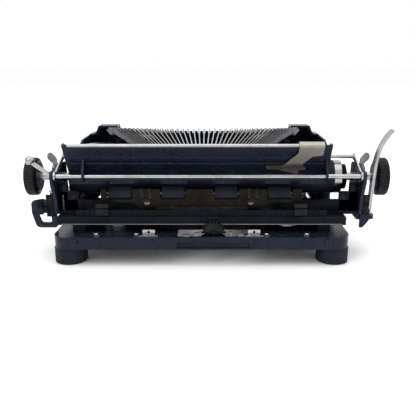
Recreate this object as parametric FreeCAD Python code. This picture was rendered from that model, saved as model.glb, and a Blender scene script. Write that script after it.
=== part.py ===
import FreeCAD, Part
import math
import os

os.makedirs("parts", exist_ok=True)

V = FreeCAD.Vector

# Frame: X to the operator's right, Y towards the back, Z up, millimetres.
# Pieces are laid out from the platen axis (Y = 0) and the table (Z = 0), then moved to the origin.

# Clearances
RUNNING_GAP = 0.3
BORE_GAP = 0.05
SLOT_GAP = 0.2

# Base tray and feet
FOOT_HEIGHT = 17.0
FOOT_RADIUS = 16.0
FOOT_BEVEL = 1.5
REAR_FOOT_X = 128.0
REAR_FOOT_Y = 36.0
FRONT_FOOT_X = 126.0
FRONT_FOOT_Y = -215.0
BASE_WIDTH = 282.0
BASE_REAR = 55.0
BASE_FRONT = -245.0
BASE_HEIGHT = 12.0
BASE_CORNER = 14.0
BASE_WALL = 3.0
DECK_THICK = 3.0
WELL_WIDTH = 258.0
REAR_DECK_FRONT = -32.0
STRAP_FRONT = -97.0
STRAP_REAR = -72.0
REAR_RECESS_LEFT = -46.0
REAR_RECESS_RIGHT = 23.0
REAR_RECESS_HEIGHT = 5.5
REAR_RECESS_DEPTH = 1.5
DECK_SCREW_PLACES = [62.0, 100.0]
DECK_SCREW_INSET = 9.0
REAR_BOLT_INSET = 22.0
REAR_BOLT_RISE = 7.0

# Body shell
SHELL_WALL = 2.2
SHELL_REAR = -50.0
SHELL_REAR_TOP = 80.0
SHOULDER_HEIGHT = 101.0
SHOULDER_REAR = -90.0
HOOD_EAR_RISE = 9.0
HOOD_SLUG_GAP = 1.97
HOOD_HALF_WIDTH = 128.5
HOOD_FRONT = -160.0
HOOD_TOP_FRONT = -150.0
HOOD_KNEE = 75.0
HOOD_REAR = -130.0
HOOD_BOTTOM = 32.0
HOOD_DIP_HALF = 105.0
KEYBOARD_CHEEK_REAR = 66.0
KEYBOARD_CHEEK_FRONT = 38.0

# Ribbon deck and spools
RIBBON_DECK_TOP = 82.0
RIBBON_DECK_THICK = 2.0
RIBBON_DECK_REAR = -52.0
BASKET_WELL_RADIUS = 80.0
BASKET_WELL_Y = -39.0
SPOOL_X = 119.0
SPOOL_Y = -80.0
SPOOL_RADIUS = 18.0
SPOOL_HEIGHT = 13.0
SPOOL_FLANGE = 1.0
RIBBON_RADIUS = 13.5
SPINDLE_RADIUS = 2.5

# Key levers and key tops
FULCRUM_Y = -40.0
FULCRUM_Z = 22.0
FULCRUM_RADIUS = 2.5
LEVER_THICK = 1.3
LEVER_HEIGHT = 6.0
LEVER_BOSS = 4.5
STEM_WIDTH = 5.0
KEY_PITCH = 19.0
LEVER_PITCH = KEY_PITCH / 4
FIRST_KEY_X = -107.0
FIRST_ROW_Y = -172.0
ROW_PITCH = 18.0
FIRST_ROW_TOP = 80.0
ROW_DROP = 11.0
ROW_STAGGER = [0, 2, 3, 5]
ROW_KEYS = [11, 11, 11, 10]
CAP_RADIUS = 7.75
CAP_HEIGHT = 4.5
STRIKE_ROW_INDEX = 2
STRIKE_COLUMN_INDEX = 5
COMB_Y = -160.0
COMB_THICK = 2.0
COMB_BOTTOM = 6.0
SHIFT_BAR_Y = -48.0
SHIFT_BAR_Z = 33.0
SHIFT_BAR_RADIUS = 2.5
SPACE_BAR_LENGTH = 132.0
SPACE_BAR_FRONT = -249.0
SPACE_BAR_DEPTH = 13.0
SPACE_BAR_BOTTOM = 36.0
SPACE_BAR_HEIGHT = 8.0
SPACE_ARM_STEP = 13

# Typebar fan, laid out on a tilted axis: radius from the axis and height along it
FAN_Y = -29.0
FAN_Z = 48.7
FAN_TILT = 8.0
FAN_HALF_ANGLE = 78.0
BARS_EACH_SIDE = 21
PIVOT_RADIUS = 55.5
SLUG_RADIUS = 101.6
SLUG_RISE = 70.1
ELBOW_RADIUS = 66.0
ARM_SLOPE = 32.0
BAR_THICK = 1.3
BAR_HALF_HEIGHT = 2.1
BAR_HEEL = 3.0
SLUG_WIDTH = 3.4
SLUG_LENGTH = 7.5
SLUG_DEPTH = 4.5
SLUG_FACE_ANGLE = 48.0
SEGMENT_INNER = 48.0
SEGMENT_OUTER = 68.0
SEGMENT_DROP = 9.8
SEGMENT_RISE = 4.0
SEGMENT_HALF_ANGLE = 84.0
SEGMENT_SLOT_RADIUS = 8.6
REST_INNER = 90.0
REST_OUTER = 94.0
REST_HEIGHT = 5.0
REST_POST_RADIUS = 2.0
REST_POST_ANGLES = [-75, -40, 40, 75]

# Type guide and ribbon carrier
GUIDE_HALF_GAP = 1.6
GUIDE_HALF_WIDTH = 5.0
GUIDE_TOP = 62.0
CARRIER_Y = -20.2
CARRIER_THICK = 1.0
CARRIER_HALF_WIDTH = 9.0
CARRIER_HALF_GAP = 6.5
CARRIER_TOP = 80.0

# Carriage rails and truck
RAIL_RADIUS = 3.0
RAIL_Z = 39.0
FRONT_RAIL_Y = -8.0
REAR_RAIL_Y = 36.0
RAIL_LENGTH = 262.0
RAIL_POST_X = 118.0
RAIL_POST_SIZE = 4.0
TRUCK_LENGTH = 276.0
TRUCK_THICK = 2.7
TRUCK_LIP = 3.0
TRUCK_LIP_DROP = 5.0
RACK_PITCH = 2.54
RACK_Y = 20.0
RACK_DEPTH = 5.0
RACK_TEETH_EACH_SIDE = 48
TOOTH_ADDENDUM = 0.9
TOOTH_DEDENDUM = 1.1
TOOTH_SHARE = 0.42
PRESSURE_SLOPE = 0.36
PINION_X = -11.5
PINION_TEETH = 20
ESCAPE_WHEEL_Y = 44.0
ESCAPE_WHEEL_THICK = 2.5
ESCAPE_WHEEL_RADIUS = 12.0
ESCAPE_WHEEL_TEETH = 20
ESCAPE_SHAFT_RADIUS = 2.0
ESCAPE_BRACKET_Y = 28.0
ESCAPE_BRACKET_THICK = 2.5
DRUM_X = 85.0
DRUM_Y = 8.0
DRUM_RADIUS = 14.0
DRUM_HEIGHT = 6.0
ARBOR_RADIUS = 2.5
BELL_X = -85.0
BELL_Y = 8.0
BELL_RADIUS = 13.0
BELL_HEIGHT = 6.0
MARGIN_RAIL_Y = 36.5
MARGIN_RAIL_THICK = 2.5
MARGIN_RAIL_HEIGHT = 6.0
MARGIN_RAIL_LENGTH = 240.0
MARGIN_STOP_X = 95.0
MARGIN_STOP_WIDTH = 12.0

# Carriage ends and upper frame
LEFT_PLATE_GAP = 8.4
RIGHT_PLATE_GAP = 8.0
PLATE_THICK = 3.0
FRAME_FRONT = -12.0
FRAME_REAR = 31.0
FRAME_THICK = 2.7
BRACKET_Y = 24.7
BRACKET_LEFT_REACH = 9.0
BRACKET_RIGHT_REACH = 24.0

# Platen
PLATEN_Z = 76.0
PLATEN_RADIUS = 16.5
PLATEN_HALF_LENGTH = 131.0
PLATEN_SHAFT_RADIUS = 4.0
END_RING_WIDTH = 7.6
RATCHET_WIDTH = 5.0
RATCHET_RADIUS = 12.5
RATCHET_TEETH = 30
KNOB_RADIUS = 19.0
KNOB_WIDTH = 13.0
KNOB_RIBS = 40
LEFT_KNOB_GAP = 17.6
RIGHT_KNOB_GAP = 21.0
KNOB_SOCKET = 9.0

# Paper feed and paper table
FEED_ROLLER_RADIUS = 8.0
FEED_ROLLER_LENGTH = 22.0
FEED_ROLLER_PITCH = 51.5
FEED_ROLLER_MID_X = 2.0
FEED_ROLLER_COUNT = 4
FEED_ROLLER_ANGLE = -32.0
FEED_SHAFT_RADIUS = 2.0
HANGER_LEFT = -97.0
HANGER_RIGHT = 97.0
HANGER_TOP = 70.0
HANGER_MIDDLE_BOTTOM = 52.5
HANGER_END_BOTTOM = 57.0
HANGER_THICK = 1.2
HANGER_LEG_X = 50.0
HANGER_LEG_WIDTH = 10.0
TIE_ROD_Y = 38.0
TIE_ROD_Z = 84.0
TIE_ROD_RADIUS = 2.1
TABLE_FOOT_Y = 22.0
TABLE_FOOT_Z = 82.0
TABLE_TOP_Y = 46.0
TABLE_TOP_Z = 115.0
TABLE_LEFT = -121.0
TABLE_RIGHT = 128.0
TABLE_THICK = 1.6
TABLE_TAIL_DROP = 9.0
TABLE_BEADS = [17.0, 26.0]
BEAD_RADIUS = 1.0
TABLE_LUG_LEFT_INSET = 2.0
TABLE_LUG_RIGHT_INSET = 18.0
STRIP_END_GAP = 5.4
STRIP_DEPTH = 1.4
STRIP_THICK = 0.5
PAPER_GUIDE_INSET = 8.0
PAPER_GUIDE_WIDTH = 52.0
PAPER_GUIDE_HOOK = 8.0
PAPER_GUIDE_FOOT = -2.0
PAPER_GUIDE_THICK = 1.2

# Paper bail
BAIL_ROLLER_RADIUS = 5.0
BAIL_ROLLER_WIDTH = 14.0
BAIL_ROLLER_X = 60.0
BAIL_ROD_RADIUS = 2.0
BAIL_ANGLE = 77.0
BAIL_ARM_THICK = 1.5
BAIL_ARM_HEIGHT = 5.0

# Levers on the carriage ends
EAR_Y = 10.0
EAR_Z = 86.0
EAR_PIN_RADIUS = 2.0
EAR_THICK = 1.5
EAR_HEIGHT = 17.5
EAR_WIDTH = 10.0
RELEASE_Y = 22.0
RELEASE_Z = 66.0
RELEASE_PIN_RADIUS = 2.2
BALL_REACH = 23.8
BALL_Z = 96.0
BALL_RADIUS = 4.5
RETURN_PIN_REACH = 8.0
RETURN_Y = 17.0
RETURN_PIN_RADIUS = 2.5
RETURN_LUG_TOP = 42.0
RETURN_WIDTH = 9.0
RETURN_THICK = 2.6
RETURN_BENDS = [(2.5, 45.0), (4.0, 66.0), (5.2, 86.0), (8.0, 103.0), (13.5, 116.0), (20.6, 125.0)]

# Places that follow from the sizes above
BASE_BOTTOM = FOOT_HEIGHT
BASE_TOP = BASE_BOTTOM + BASE_HEIGHT
HALF_WIDTH = BASE_WIDTH / 2
WELL_HALF = WELL_WIDTH / 2
RAIL_TOP = RAIL_Z + RAIL_RADIUS
TRUCK_BOTTOM = RAIL_TOP + RUNNING_GAP
TRUCK_TOP = TRUCK_BOTTOM + TRUCK_THICK
TRUCK_FRONT = FRONT_RAIL_Y - RAIL_RADIUS - 0.5 - TRUCK_LIP
TRUCK_REAR = REAR_RAIL_Y + RAIL_RADIUS + 0.5 + TRUCK_LIP
FRAME_BOTTOM = TRUCK_TOP + RUNNING_GAP
FRAME_TOP = FRAME_BOTTOM + FRAME_THICK
PINION_RADIUS = PINION_TEETH * RACK_PITCH / (2 * math.pi)
RACK_PITCH_Z = TRUCK_BOTTOM - 2.0 - TOOTH_DEDENDUM
PINION_Z = RACK_PITCH_Z - PINION_RADIUS
BRACKET_BOTTOM = BASE_TOP + 1.5
LEFT_PLATE_X = -PLATEN_HALF_LENGTH - END_RING_WIDTH - RATCHET_WIDTH - LEFT_PLATE_GAP
RIGHT_PLATE_X = PLATEN_HALF_LENGTH + RIGHT_PLATE_GAP
LEFT_PLATE_OUT = LEFT_PLATE_X - PLATE_THICK
RIGHT_PLATE_OUT = RIGHT_PLATE_X + PLATE_THICK
LEFT_KNOB_X = LEFT_PLATE_OUT - LEFT_KNOB_GAP
RIGHT_KNOB_X = RIGHT_PLATE_OUT + RIGHT_KNOB_GAP
BALL_X = RIGHT_PLATE_OUT + BALL_REACH
RETURN_X = LEFT_PLATE_OUT - RETURN_PIN_REACH
FEED_REACH = PLATEN_RADIUS + FEED_ROLLER_RADIUS + RUNNING_GAP
FEED_Y = FEED_REACH * math.cos(math.radians(FEED_ROLLER_ANGLE))
FEED_Z = PLATEN_Z + FEED_REACH * math.sin(math.radians(FEED_ROLLER_ANGLE))
HANGER_Y = FEED_Y + FEED_ROLLER_RADIUS + 0.8
BAIL_REACH = PLATEN_RADIUS + BAIL_ROLLER_RADIUS + RUNNING_GAP
BAIL_Y = BAIL_REACH * math.cos(math.radians(BAIL_ANGLE))
BAIL_Z = PLATEN_Z + BAIL_REACH * math.sin(math.radians(BAIL_ANGLE))
TABLE_LENGTH = math.hypot(TABLE_TOP_Y - TABLE_FOOT_Y, TABLE_TOP_Z - TABLE_FOOT_Z)
TABLE_COS = (TABLE_TOP_Y - TABLE_FOOT_Y) / TABLE_LENGTH
TABLE_SIN = (TABLE_TOP_Z - TABLE_FOOT_Z) / TABLE_LENGTH
FAN_TILT_COS = math.cos(math.radians(FAN_TILT))
FAN_TILT_SIN = math.sin(math.radians(FAN_TILT))
SLUG_Z = FAN_Z + SLUG_RISE * FAN_TILT_COS - SLUG_RADIUS * FAN_TILT_SIN
HOOD_DIP_HEIGHT = SLUG_Z - HOOD_SLUG_GAP
HOOD_HEIGHT = HOOD_DIP_HEIGHT + HOOD_EAR_RISE
ELBOW_RISE = SLUG_RISE - (SLUG_RADIUS - ELBOW_RADIUS) * math.tan(math.radians(ARM_SLOPE))
ORIGIN = V((LEFT_KNOB_X - KNOB_WIDTH + RIGHT_KNOB_X + KNOB_WIDTH) / 2, (BASE_REAR + SPACE_BAR_FRONT) / 2, 0)


def box(x0, x1, y0, y1, z0, z1):
    return Part.makeBox(x1 - x0, y1 - y0, z1 - z0, V(x0, y0, z0))


def rod_x(x0, x1, y, z, radius):
    return Part.makeCylinder(radius, x1 - x0, V(x0, y, z), V(1, 0, 0))


def rod_y(y0, y1, x, z, radius):
    return Part.makeCylinder(radius, y1 - y0, V(x, y0, z), V(0, 1, 0))


def rod_z(z0, z1, x, y, radius):
    return Part.makeCylinder(radius, z1 - z0, V(x, y, z0), V(0, 0, 1))


def on_plane(plane, u, v, depth):
    """Point of a drawing plane, named by its two axes, at a depth along the third."""
    if plane == "yz":
        return V(depth, u, v)
    if plane == "xz":
        return V(u, depth, v)
    return V(u, v, depth)


def prism(points, plane, low, high):
    """Solid from a closed outline of (u, v) or (u, v, corner radius), between two depths."""
    edges = []
    joints = []
    count = len(points)
    for i, corner in enumerate(points):
        here = V(corner[0], corner[1], 0)
        back = (V(*points[i - 1][:2], 0) - here).normalize()
        ahead = (V(*points[(i + 1) % count][:2], 0) - here).normalize()
        radius = corner[2] if len(corner) > 2 else 0
        if radius == 0:
            joints.append((here, here))
            continue
        half = back.getAngle(ahead) / 2
        reach = radius / math.tan(half)
        middle = here + (back + ahead).normalize() * (radius / math.sin(half) - radius)
        start = here + back * reach
        end = here + ahead * reach
        joints.append((start, end))
        places = [on_plane(plane, p.x, p.y, low) for p in (start, middle, end)]
        edges.append(Part.Arc(*places).toShape())
    for i in range(count):
        start = joints[i - 1][1]
        end = joints[i][0]
        if start.distanceToPoint(end) > 1e-6:
            first = on_plane(plane, start.x, start.y, low)
            last = on_plane(plane, end.x, end.y, low)
            edges.append(Part.makeLine(first, last))
    wire = Part.Wire(Part.sortEdges(edges)[0])
    return Part.Face(wire).extrude(on_plane(plane, 0, 0, high - low))


def strip(a, b, half, plane, low, high):
    """Straight bar of the given half height between two points of a drawing plane."""
    run = math.hypot(b[0] - a[0], b[1] - a[1])
    across = (-(b[1] - a[1]) / run * half, (b[0] - a[0]) / run * half)
    corners = [(a[0] + across[0], a[1] + across[1]), (b[0] + across[0], b[1] + across[1])]
    corners += [(b[0] - across[0], b[1] - across[1]), (a[0] - across[0], a[1] - across[1])]
    return prism(corners, plane, low, high)


def turned(profile, place, axis):
    """Solid of revolution from (radius, length) points, standing at a place along an axis."""
    wire = Part.makePolygon([V(r, 0, s) for r, s in profile + profile[:1]])
    shape = Part.Face(wire).revolve(V(0, 0, 0), V(0, 0, 1), 360)
    shape.Placement = FreeCAD.Placement(place, FreeCAD.Rotation(V(0, 0, 1), axis))
    return shape


def fused(first, *others):
    return first.fuse(list(others)).removeSplitter()


def round_rectangle(x0, x1, y0, y1, radius):
    return [(x0, y0, radius), (x1, y0, radius), (x1, y1, radius), (x0, y1, radius)]


def gear_outline(teeth, root, tip, root_half, tip_half, turn):
    """Corner points of a toothed wheel, half widths of a tooth given as angles."""
    points = []
    for i in range(teeth):
        middle = turn + i * 2 * math.pi / teeth
        for radius, offset in ((root, -root_half), (tip, -tip_half), (tip, tip_half), (root, root_half)):
            points.append((radius * math.cos(middle + offset), radius * math.sin(middle + offset)))
    return points


def moved(points, u, v):
    return [(p[0] + u, p[1] + v, *p[2:]) for p in points]


def fan(shape, angle):
    """Takes a piece drawn in the XZ plane of the fan axis to its place in the machine."""
    placed = shape.copy()
    placed.rotate(V(0, 0, 0), V(0, 0, 1), angle - 90)
    placed.rotate(V(0, 0, 0), V(1, 0, 0), FAN_TILT)
    placed.translate(V(0, FAN_Y, FAN_Z))
    return placed


def fan_angles():
    step = FAN_HALF_ANGLE / BARS_EACH_SIDE
    return [i * step for i in range(-BARS_EACH_SIDE, BARS_EACH_SIDE + 1)]


def table_point(along, behind):
    """Place (Y, Z) on the paper table, along its slope from the foot and behind its middle plane."""
    return (TABLE_FOOT_Y + along * TABLE_COS + behind * TABLE_SIN,
            TABLE_FOOT_Z + along * TABLE_SIN - behind * TABLE_COS)


def table_prism(points, low, high):
    return prism([(*table_point(p[0], p[1]), *p[2:]) for p in points], "yz", low, high)


# Base and body

def foot_places():
    return [(side * x, y) for x, y in ((REAR_FOOT_X, REAR_FOOT_Y), (FRONT_FOOT_X, FRONT_FOOT_Y))
            for side in (-1, 1)]


def base_outline(inset):
    return round_rectangle(-HALF_WIDTH + inset, HALF_WIDTH - inset, BASE_FRONT + inset, BASE_REAR - inset,
                           BASE_CORNER - inset)


def base_frame():
    tray = prism(base_outline(0), "xy", BASE_BOTTOM, BASE_TOP)
    deck_bottom = BASE_TOP - DECK_THICK
    hollow = prism(base_outline(BASE_WALL), "xy", BASE_BOTTOM, deck_bottom)
    well = box(-WELL_HALF, WELL_HALF, BASE_FRONT + BASE_WALL, REAR_DECK_FRONT, deck_bottom, BASE_TOP)
    frame = tray.cut([hollow, well])
    additions = [box(-WELL_HALF, WELL_HALF, STRAP_FRONT, STRAP_REAR, deck_bottom, BASE_TOP),
                 rod_z(deck_bottom, BASE_TOP + DRUM_HEIGHT + 0.7, DRUM_X, DRUM_Y, ARBOR_RADIUS)]
    for x, y in foot_places():
        pad = rod_z(BASE_BOTTOM, BASE_BOTTOM + DECK_THICK, x, y, FOOT_RADIUS)
        additions.append(pad.common(tray))
    for side in (-1, 1):
        inner = side * WELL_HALF
        outer = side * HALF_WIDTH - side * BASE_WALL
        additions.append(box(min(inner, outer), max(inner, outer), FULCRUM_Y - 6, FULCRUM_Y + 6,
                             BASE_BOTTOM, deck_bottom))
    frame = fused(frame, *additions)
    reach = HALF_WIDTH - BASE_WALL
    fulcrum_bore = rod_x(-reach, reach, FULCRUM_Y, FULCRUM_Z, FULCRUM_RADIUS)
    notch = box(REAR_RECESS_LEFT, REAR_RECESS_RIGHT, RACK_Y - 2, BASE_REAR - BASE_WALL - 1,
                deck_bottom, BASE_TOP)
    recess = box(REAR_RECESS_LEFT, REAR_RECESS_RIGHT, BASE_REAR - REAR_RECESS_DEPTH, BASE_REAR,
                 BASE_BOTTOM + 1.5, BASE_BOTTOM + 1.5 + REAR_RECESS_HEIGHT)
    return [frame.cut([fulcrum_bore, notch, recess])]


def rubber_feet():
    profile = [(0, 0), (FOOT_RADIUS - FOOT_BEVEL, 0), (FOOT_RADIUS, FOOT_BEVEL), (FOOT_RADIUS, FOOT_HEIGHT),
               (0, FOOT_HEIGHT)]
    room = box(-HALF_WIDTH, HALF_WIDTH, BASE_FRONT, BASE_REAR, 0, FOOT_HEIGHT)
    return [turned(profile, V(x, y, 0), V(0, 0, 1)).common(room) for x, y in foot_places()]


def hood_outline(inset):
    side = HALF_WIDTH - inset
    top = HOOD_HALF_WIDTH - inset
    shoulder = SHOULDER_HEIGHT - inset
    bottom = HOOD_BOTTOM - (10 if inset else 0)
    right = [(side, bottom), (side, shoulder, 3), (top + 4, shoulder, 5), (top, HOOD_HEIGHT - inset, 2)]
    left = [(-p[0], *p[1:]) for p in reversed(right)]
    return right + left


def hood_side(inset):
    rear = HOOD_REAR + (10 if inset else 0)
    bottom = HOOD_BOTTOM - (10 if inset else 0)
    return [(HOOD_FRONT + inset, bottom), (HOOD_FRONT + inset, HOOD_KNEE, 8),
            (HOOD_TOP_FRONT + inset, HOOD_HEIGHT - inset, 4), (rear, HOOD_HEIGHT - inset), (rear, bottom)]


def hood_block(inset):
    across = prism(hood_outline(inset), "xz", HOOD_FRONT - 10, HOOD_REAR + 20)
    return across.common(prism(hood_side(inset), "yz", -HALF_WIDTH, HALF_WIDTH))


def body_shell():
    hood = hood_block(0).cut(hood_block(SHELL_WALL))
    dip = prism([(-HOOD_DIP_HALF, HOOD_DIP_HEIGHT, 4), (HOOD_DIP_HALF, HOOD_DIP_HEIGHT, 4),
                 (HOOD_DIP_HALF, HOOD_HEIGHT + 5), (-HOOD_DIP_HALF, HOOD_HEIGHT + 5)],
                "xz", HOOD_FRONT - 1, HOOD_REAR + 1)
    hood = hood.cut(dip)
    side = [(SHELL_REAR, BASE_TOP), (SHELL_REAR, SHELL_REAR_TOP, 12),
            (SHOULDER_REAR, SHOULDER_HEIGHT - 1, 30), (HOOD_TOP_FRONT - 2, SHOULDER_HEIGHT - 1, 4),
            (HOOD_FRONT, HOOD_KNEE, 10),
            (HOOD_FRONT - 10, KEYBOARD_CHEEK_REAR, 10), (BASE_FRONT + 2, KEYBOARD_CHEEK_FRONT, 5),
            (BASE_FRONT + 2, BASE_TOP)]
    left = prism(side, "yz", -HALF_WIDTH, -HALF_WIDTH + SHELL_WALL)
    right = prism(side, "yz", HALF_WIDTH - SHELL_WALL, HALF_WIDTH)
    return [fused(hood, left, right)]


def ribbon_deck():
    inner = HALF_WIDTH - SHELL_WALL
    front = HOOD_FRONT + SHELL_WALL
    plate = box(-inner, inner, front, RIBBON_DECK_REAR, RIBBON_DECK_TOP - RIBBON_DECK_THICK, RIBBON_DECK_TOP)
    plate = plate.common(prism(hood_side(SHELL_WALL)[:3] + [(0, HOOD_HEIGHT), (0, 0)], "yz", -inner, inner))
    well = rod_z(0, HOOD_HEIGHT, 0, BASKET_WELL_Y, BASKET_WELL_RADIUS)
    spindle_top = RIBBON_DECK_TOP + SPOOL_HEIGHT + 2
    spindles = [rod_z(RIBBON_DECK_TOP - 1, spindle_top, side * SPOOL_X, SPOOL_Y, SPINDLE_RADIUS)
                for side in (-1, 1)]
    return [fused(plate.cut(well), *spindles)]


def ribbon_spool(side):
    bore = SPINDLE_RADIUS + BORE_GAP
    top = SPOOL_HEIGHT
    profile = [(bore, 0), (SPOOL_RADIUS, 0), (SPOOL_RADIUS, SPOOL_FLANGE), (RIBBON_RADIUS, SPOOL_FLANGE),
               (RIBBON_RADIUS, top - SPOOL_FLANGE), (SPOOL_RADIUS, top - SPOOL_FLANGE),
               (SPOOL_RADIUS, top), (bore, top)]
    spool = turned(profile, V(side * SPOOL_X, SPOOL_Y, RIBBON_DECK_TOP + RUNNING_GAP), V(0, 0, 1))
    holes = []
    for i in range(6):
        angle = i * math.pi / 3
        x = side * SPOOL_X + 9 * math.cos(angle)
        y = SPOOL_Y + 9 * math.sin(angle)
        holes.append(rod_z(RIBBON_DECK_TOP + top - SPOOL_FLANGE, RIBBON_DECK_TOP + top + 1, x, y, 2.2))
    return [spool.cut(holes)]


# Keyboard

def row_y(row):
    return FIRST_ROW_Y - row * ROW_PITCH


def cap_base(row):
    return FIRST_ROW_TOP - row * ROW_DROP - CAP_HEIGHT


def key_x(row, column):
    return FIRST_KEY_X + ROW_STAGGER[row] * LEVER_PITCH + column * KEY_PITCH


def lever(x, stem_y, stem_top):
    """Bar on the fulcrum shaft and the stem that stands on its front end."""
    low = FULCRUM_Z - LEVER_HEIGHT / 2
    high = FULCRUM_Z + LEVER_HEIGHT / 2
    front = stem_y - STEM_WIDTH / 2
    outline = [(FULCRUM_Y, low), (front, low, 2), (front, high), (FULCRUM_Y, high)]
    sides = (x - LEVER_THICK / 2, x + LEVER_THICK / 2)
    bar = prism(outline, "yz", *sides)
    boss = rod_x(*sides, FULCRUM_Y, FULCRUM_Z, LEVER_BOSS)
    bore = rod_x(*sides, FULCRUM_Y, FULCRUM_Z, FULCRUM_RADIUS + BORE_GAP)
    stem = box(*sides, front, front + STEM_WIDTH, high, stem_top)
    return [fused(bar, boss).cut(bore), stem]


def key_top(x, y, base):
    profile = [(0, 0), (5.2, 0), (CAP_RADIUS - 0.6, 0.9), (CAP_RADIUS, 1.8), (CAP_RADIUS, CAP_HEIGHT - 0.8),
               (CAP_RADIUS - 0.7, CAP_HEIGHT), (CAP_RADIUS - 1.4, CAP_HEIGHT),
               (CAP_RADIUS - 1.9, CAP_HEIGHT - 0.6), (0, CAP_HEIGHT - 0.9)]
    return turned(profile, V(x, y, base), V(0, 0, 1))


def row_columns(row):
    return [c for c in range(ROW_KEYS[row]) if (row, c) != (STRIKE_ROW_INDEX, STRIKE_COLUMN_INDEX)]


def row_levers(row):
    levers = []
    for column in row_columns(row):
        levers += lever(key_x(row, column), row_y(row), cap_base(row))
    return levers


def row_tops(row):
    return [key_top(key_x(row, c), row_y(row), cap_base(row)) for c in row_columns(row)]


def single_key(row, column):
    x = key_x(row, column)
    return lever(x, row_y(row), cap_base(row)) + [key_top(x, row_y(row), cap_base(row))]


def shift_key(column):
    row = len(ROW_KEYS) - 1
    x = key_x(row, column)
    sides = (x - LEVER_THICK / 2, x + LEVER_THICK / 2)
    neck = strip((SHIFT_BAR_Y, FULCRUM_Z), (SHIFT_BAR_Y, SHIFT_BAR_Z), SHIFT_BAR_RADIUS + 2, "yz", *sides)
    eye = rod_x(*sides, SHIFT_BAR_Y, SHIFT_BAR_Z, SHIFT_BAR_RADIUS + 2)
    bar_bore = rod_x(*sides, SHIFT_BAR_Y, SHIFT_BAR_Z, SHIFT_BAR_RADIUS)
    fulcrum_bore = rod_x(*sides, FULCRUM_Y, FULCRUM_Z, FULCRUM_RADIUS + BORE_GAP)
    bar, stem = lever(x, row_y(row), cap_base(row))
    arm = fused(bar, neck, eye).cut([bar_bore, fulcrum_bore])
    return [arm, stem, key_top(x, row_y(row), cap_base(row))]


def shift_bar():
    row = len(ROW_KEYS) - 1
    left = key_x(row, -1) - LEVER_THICK / 2
    right = key_x(row, ROW_KEYS[row]) + LEVER_THICK / 2
    return [rod_x(left, right, SHIFT_BAR_Y, SHIFT_BAR_Z, SHIFT_BAR_RADIUS)]


def space_bar():
    half = SPACE_BAR_LENGTH / 2
    rear = SPACE_BAR_FRONT + SPACE_BAR_DEPTH
    top = SPACE_BAR_BOTTOM + SPACE_BAR_HEIGHT
    outline = [(SPACE_BAR_FRONT, SPACE_BAR_BOTTOM, 1), (rear, SPACE_BAR_BOTTOM, 1), (rear, top, 3),
               (SPACE_BAR_FRONT, top, 4)]
    bar = prism(outline, "yz", -half, half)
    middle = FIRST_KEY_X + LEVER_PITCH / 2
    steps = round(-middle / LEVER_PITCH)
    pieces = [bar]
    for side in (-1, 1):
        x = middle + (steps + side * SPACE_ARM_STEP) * LEVER_PITCH
        pieces += lever(x, rear - STEM_WIDTH / 2, SPACE_BAR_BOTTOM)
    return pieces


def lever_planes():
    places = [key_x(row, c) for row in range(4) for c in range(ROW_KEYS[row])]
    last = len(ROW_KEYS) - 1
    return places + [key_x(last, -1), key_x(last, ROW_KEYS[last]), key_x(0, -1), key_x(0, ROW_KEYS[0])]


def lever_comb():
    half = COMB_THICK / 2
    plate = box(-WELL_HALF, WELL_HALF, COMB_Y - half, COMB_Y + half, COMB_BOTTOM, BASE_TOP)
    room = LEVER_THICK / 2 + 0.4
    top = FULCRUM_Z + LEVER_HEIGHT / 2 + RUNNING_GAP
    middle = FIRST_KEY_X + LEVER_PITCH / 2
    steps = round(-middle / LEVER_PITCH)
    arms = [middle + (steps + side * SPACE_ARM_STEP) * LEVER_PITCH for side in (-1, 1)]
    slots = [box(x - room, x + room, COMB_Y - COMB_THICK, COMB_Y + COMB_THICK, COMB_BOTTOM - 1, top)
             for x in lever_planes() + arms]
    return [plate.cut(slots)]


def fulcrum_shaft():
    reach = HALF_WIDTH - BASE_WALL
    return [rod_x(-reach, reach, FULCRUM_Y, FULCRUM_Z, FULCRUM_RADIUS)]


# Type basket

def typebar_blank():
    """Leg and slug arm of one typebar, drawn with the pivot low and the slug outwards."""
    half = BAR_THICK / 2
    pivot = (PIVOT_RADIUS, 0)
    elbow = (ELBOW_RADIUS, ELBOW_RISE)
    tip = (SLUG_RADIUS, SLUG_RISE)
    face = math.radians(SLUG_FACE_ANGLE)
    along = (math.cos(face), math.sin(face))
    middle = (tip[0] + along[1] * SLUG_DEPTH / 2, tip[1] - along[0] * SLUG_DEPTH / 2)
    reach = SLUG_LENGTH / 2
    ends = [(middle[0] + s * along[0] * reach, middle[1] + s * along[1] * reach) for s in (-1, 1)]
    slug = strip(*ends, SLUG_DEPTH / 2, "xz", -SLUG_WIDTH / 2, SLUG_WIDTH / 2)
    leg = strip(pivot, elbow, BAR_HALF_HEIGHT, "xz", -half, half)
    arm = strip(elbow, tip, BAR_HALF_HEIGHT, "xz", -half, half)
    bend = rod_y(-half, half, *elbow, BAR_HALF_HEIGHT)
    heel = rod_y(-half, half, *pivot, BAR_HEEL)
    foot = fused(leg, bend, heel)
    return [foot, fused(arm, slug).cut(foot)]


def typebars():
    blank = typebar_blank()
    return [fan(solid, angle) for angle in fan_angles() if angle != 0 for solid in blank]


def strike_typebar():
    return [fan(solid, 0) for solid in typebar_blank()]


def ring_sector(inner, outer, low, high, half_angle):
    corners = [V(inner, 0, low), V(outer, 0, low), V(outer, 0, high), V(inner, 0, high), V(inner, 0, low)]
    ring = Part.Face(Part.makePolygon(corners)).revolve(V(0, 0, 0), V(0, 0, 1), 2 * half_angle)
    ring.rotate(V(0, 0, 0), V(0, 0, 1), -half_angle)
    return ring


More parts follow.
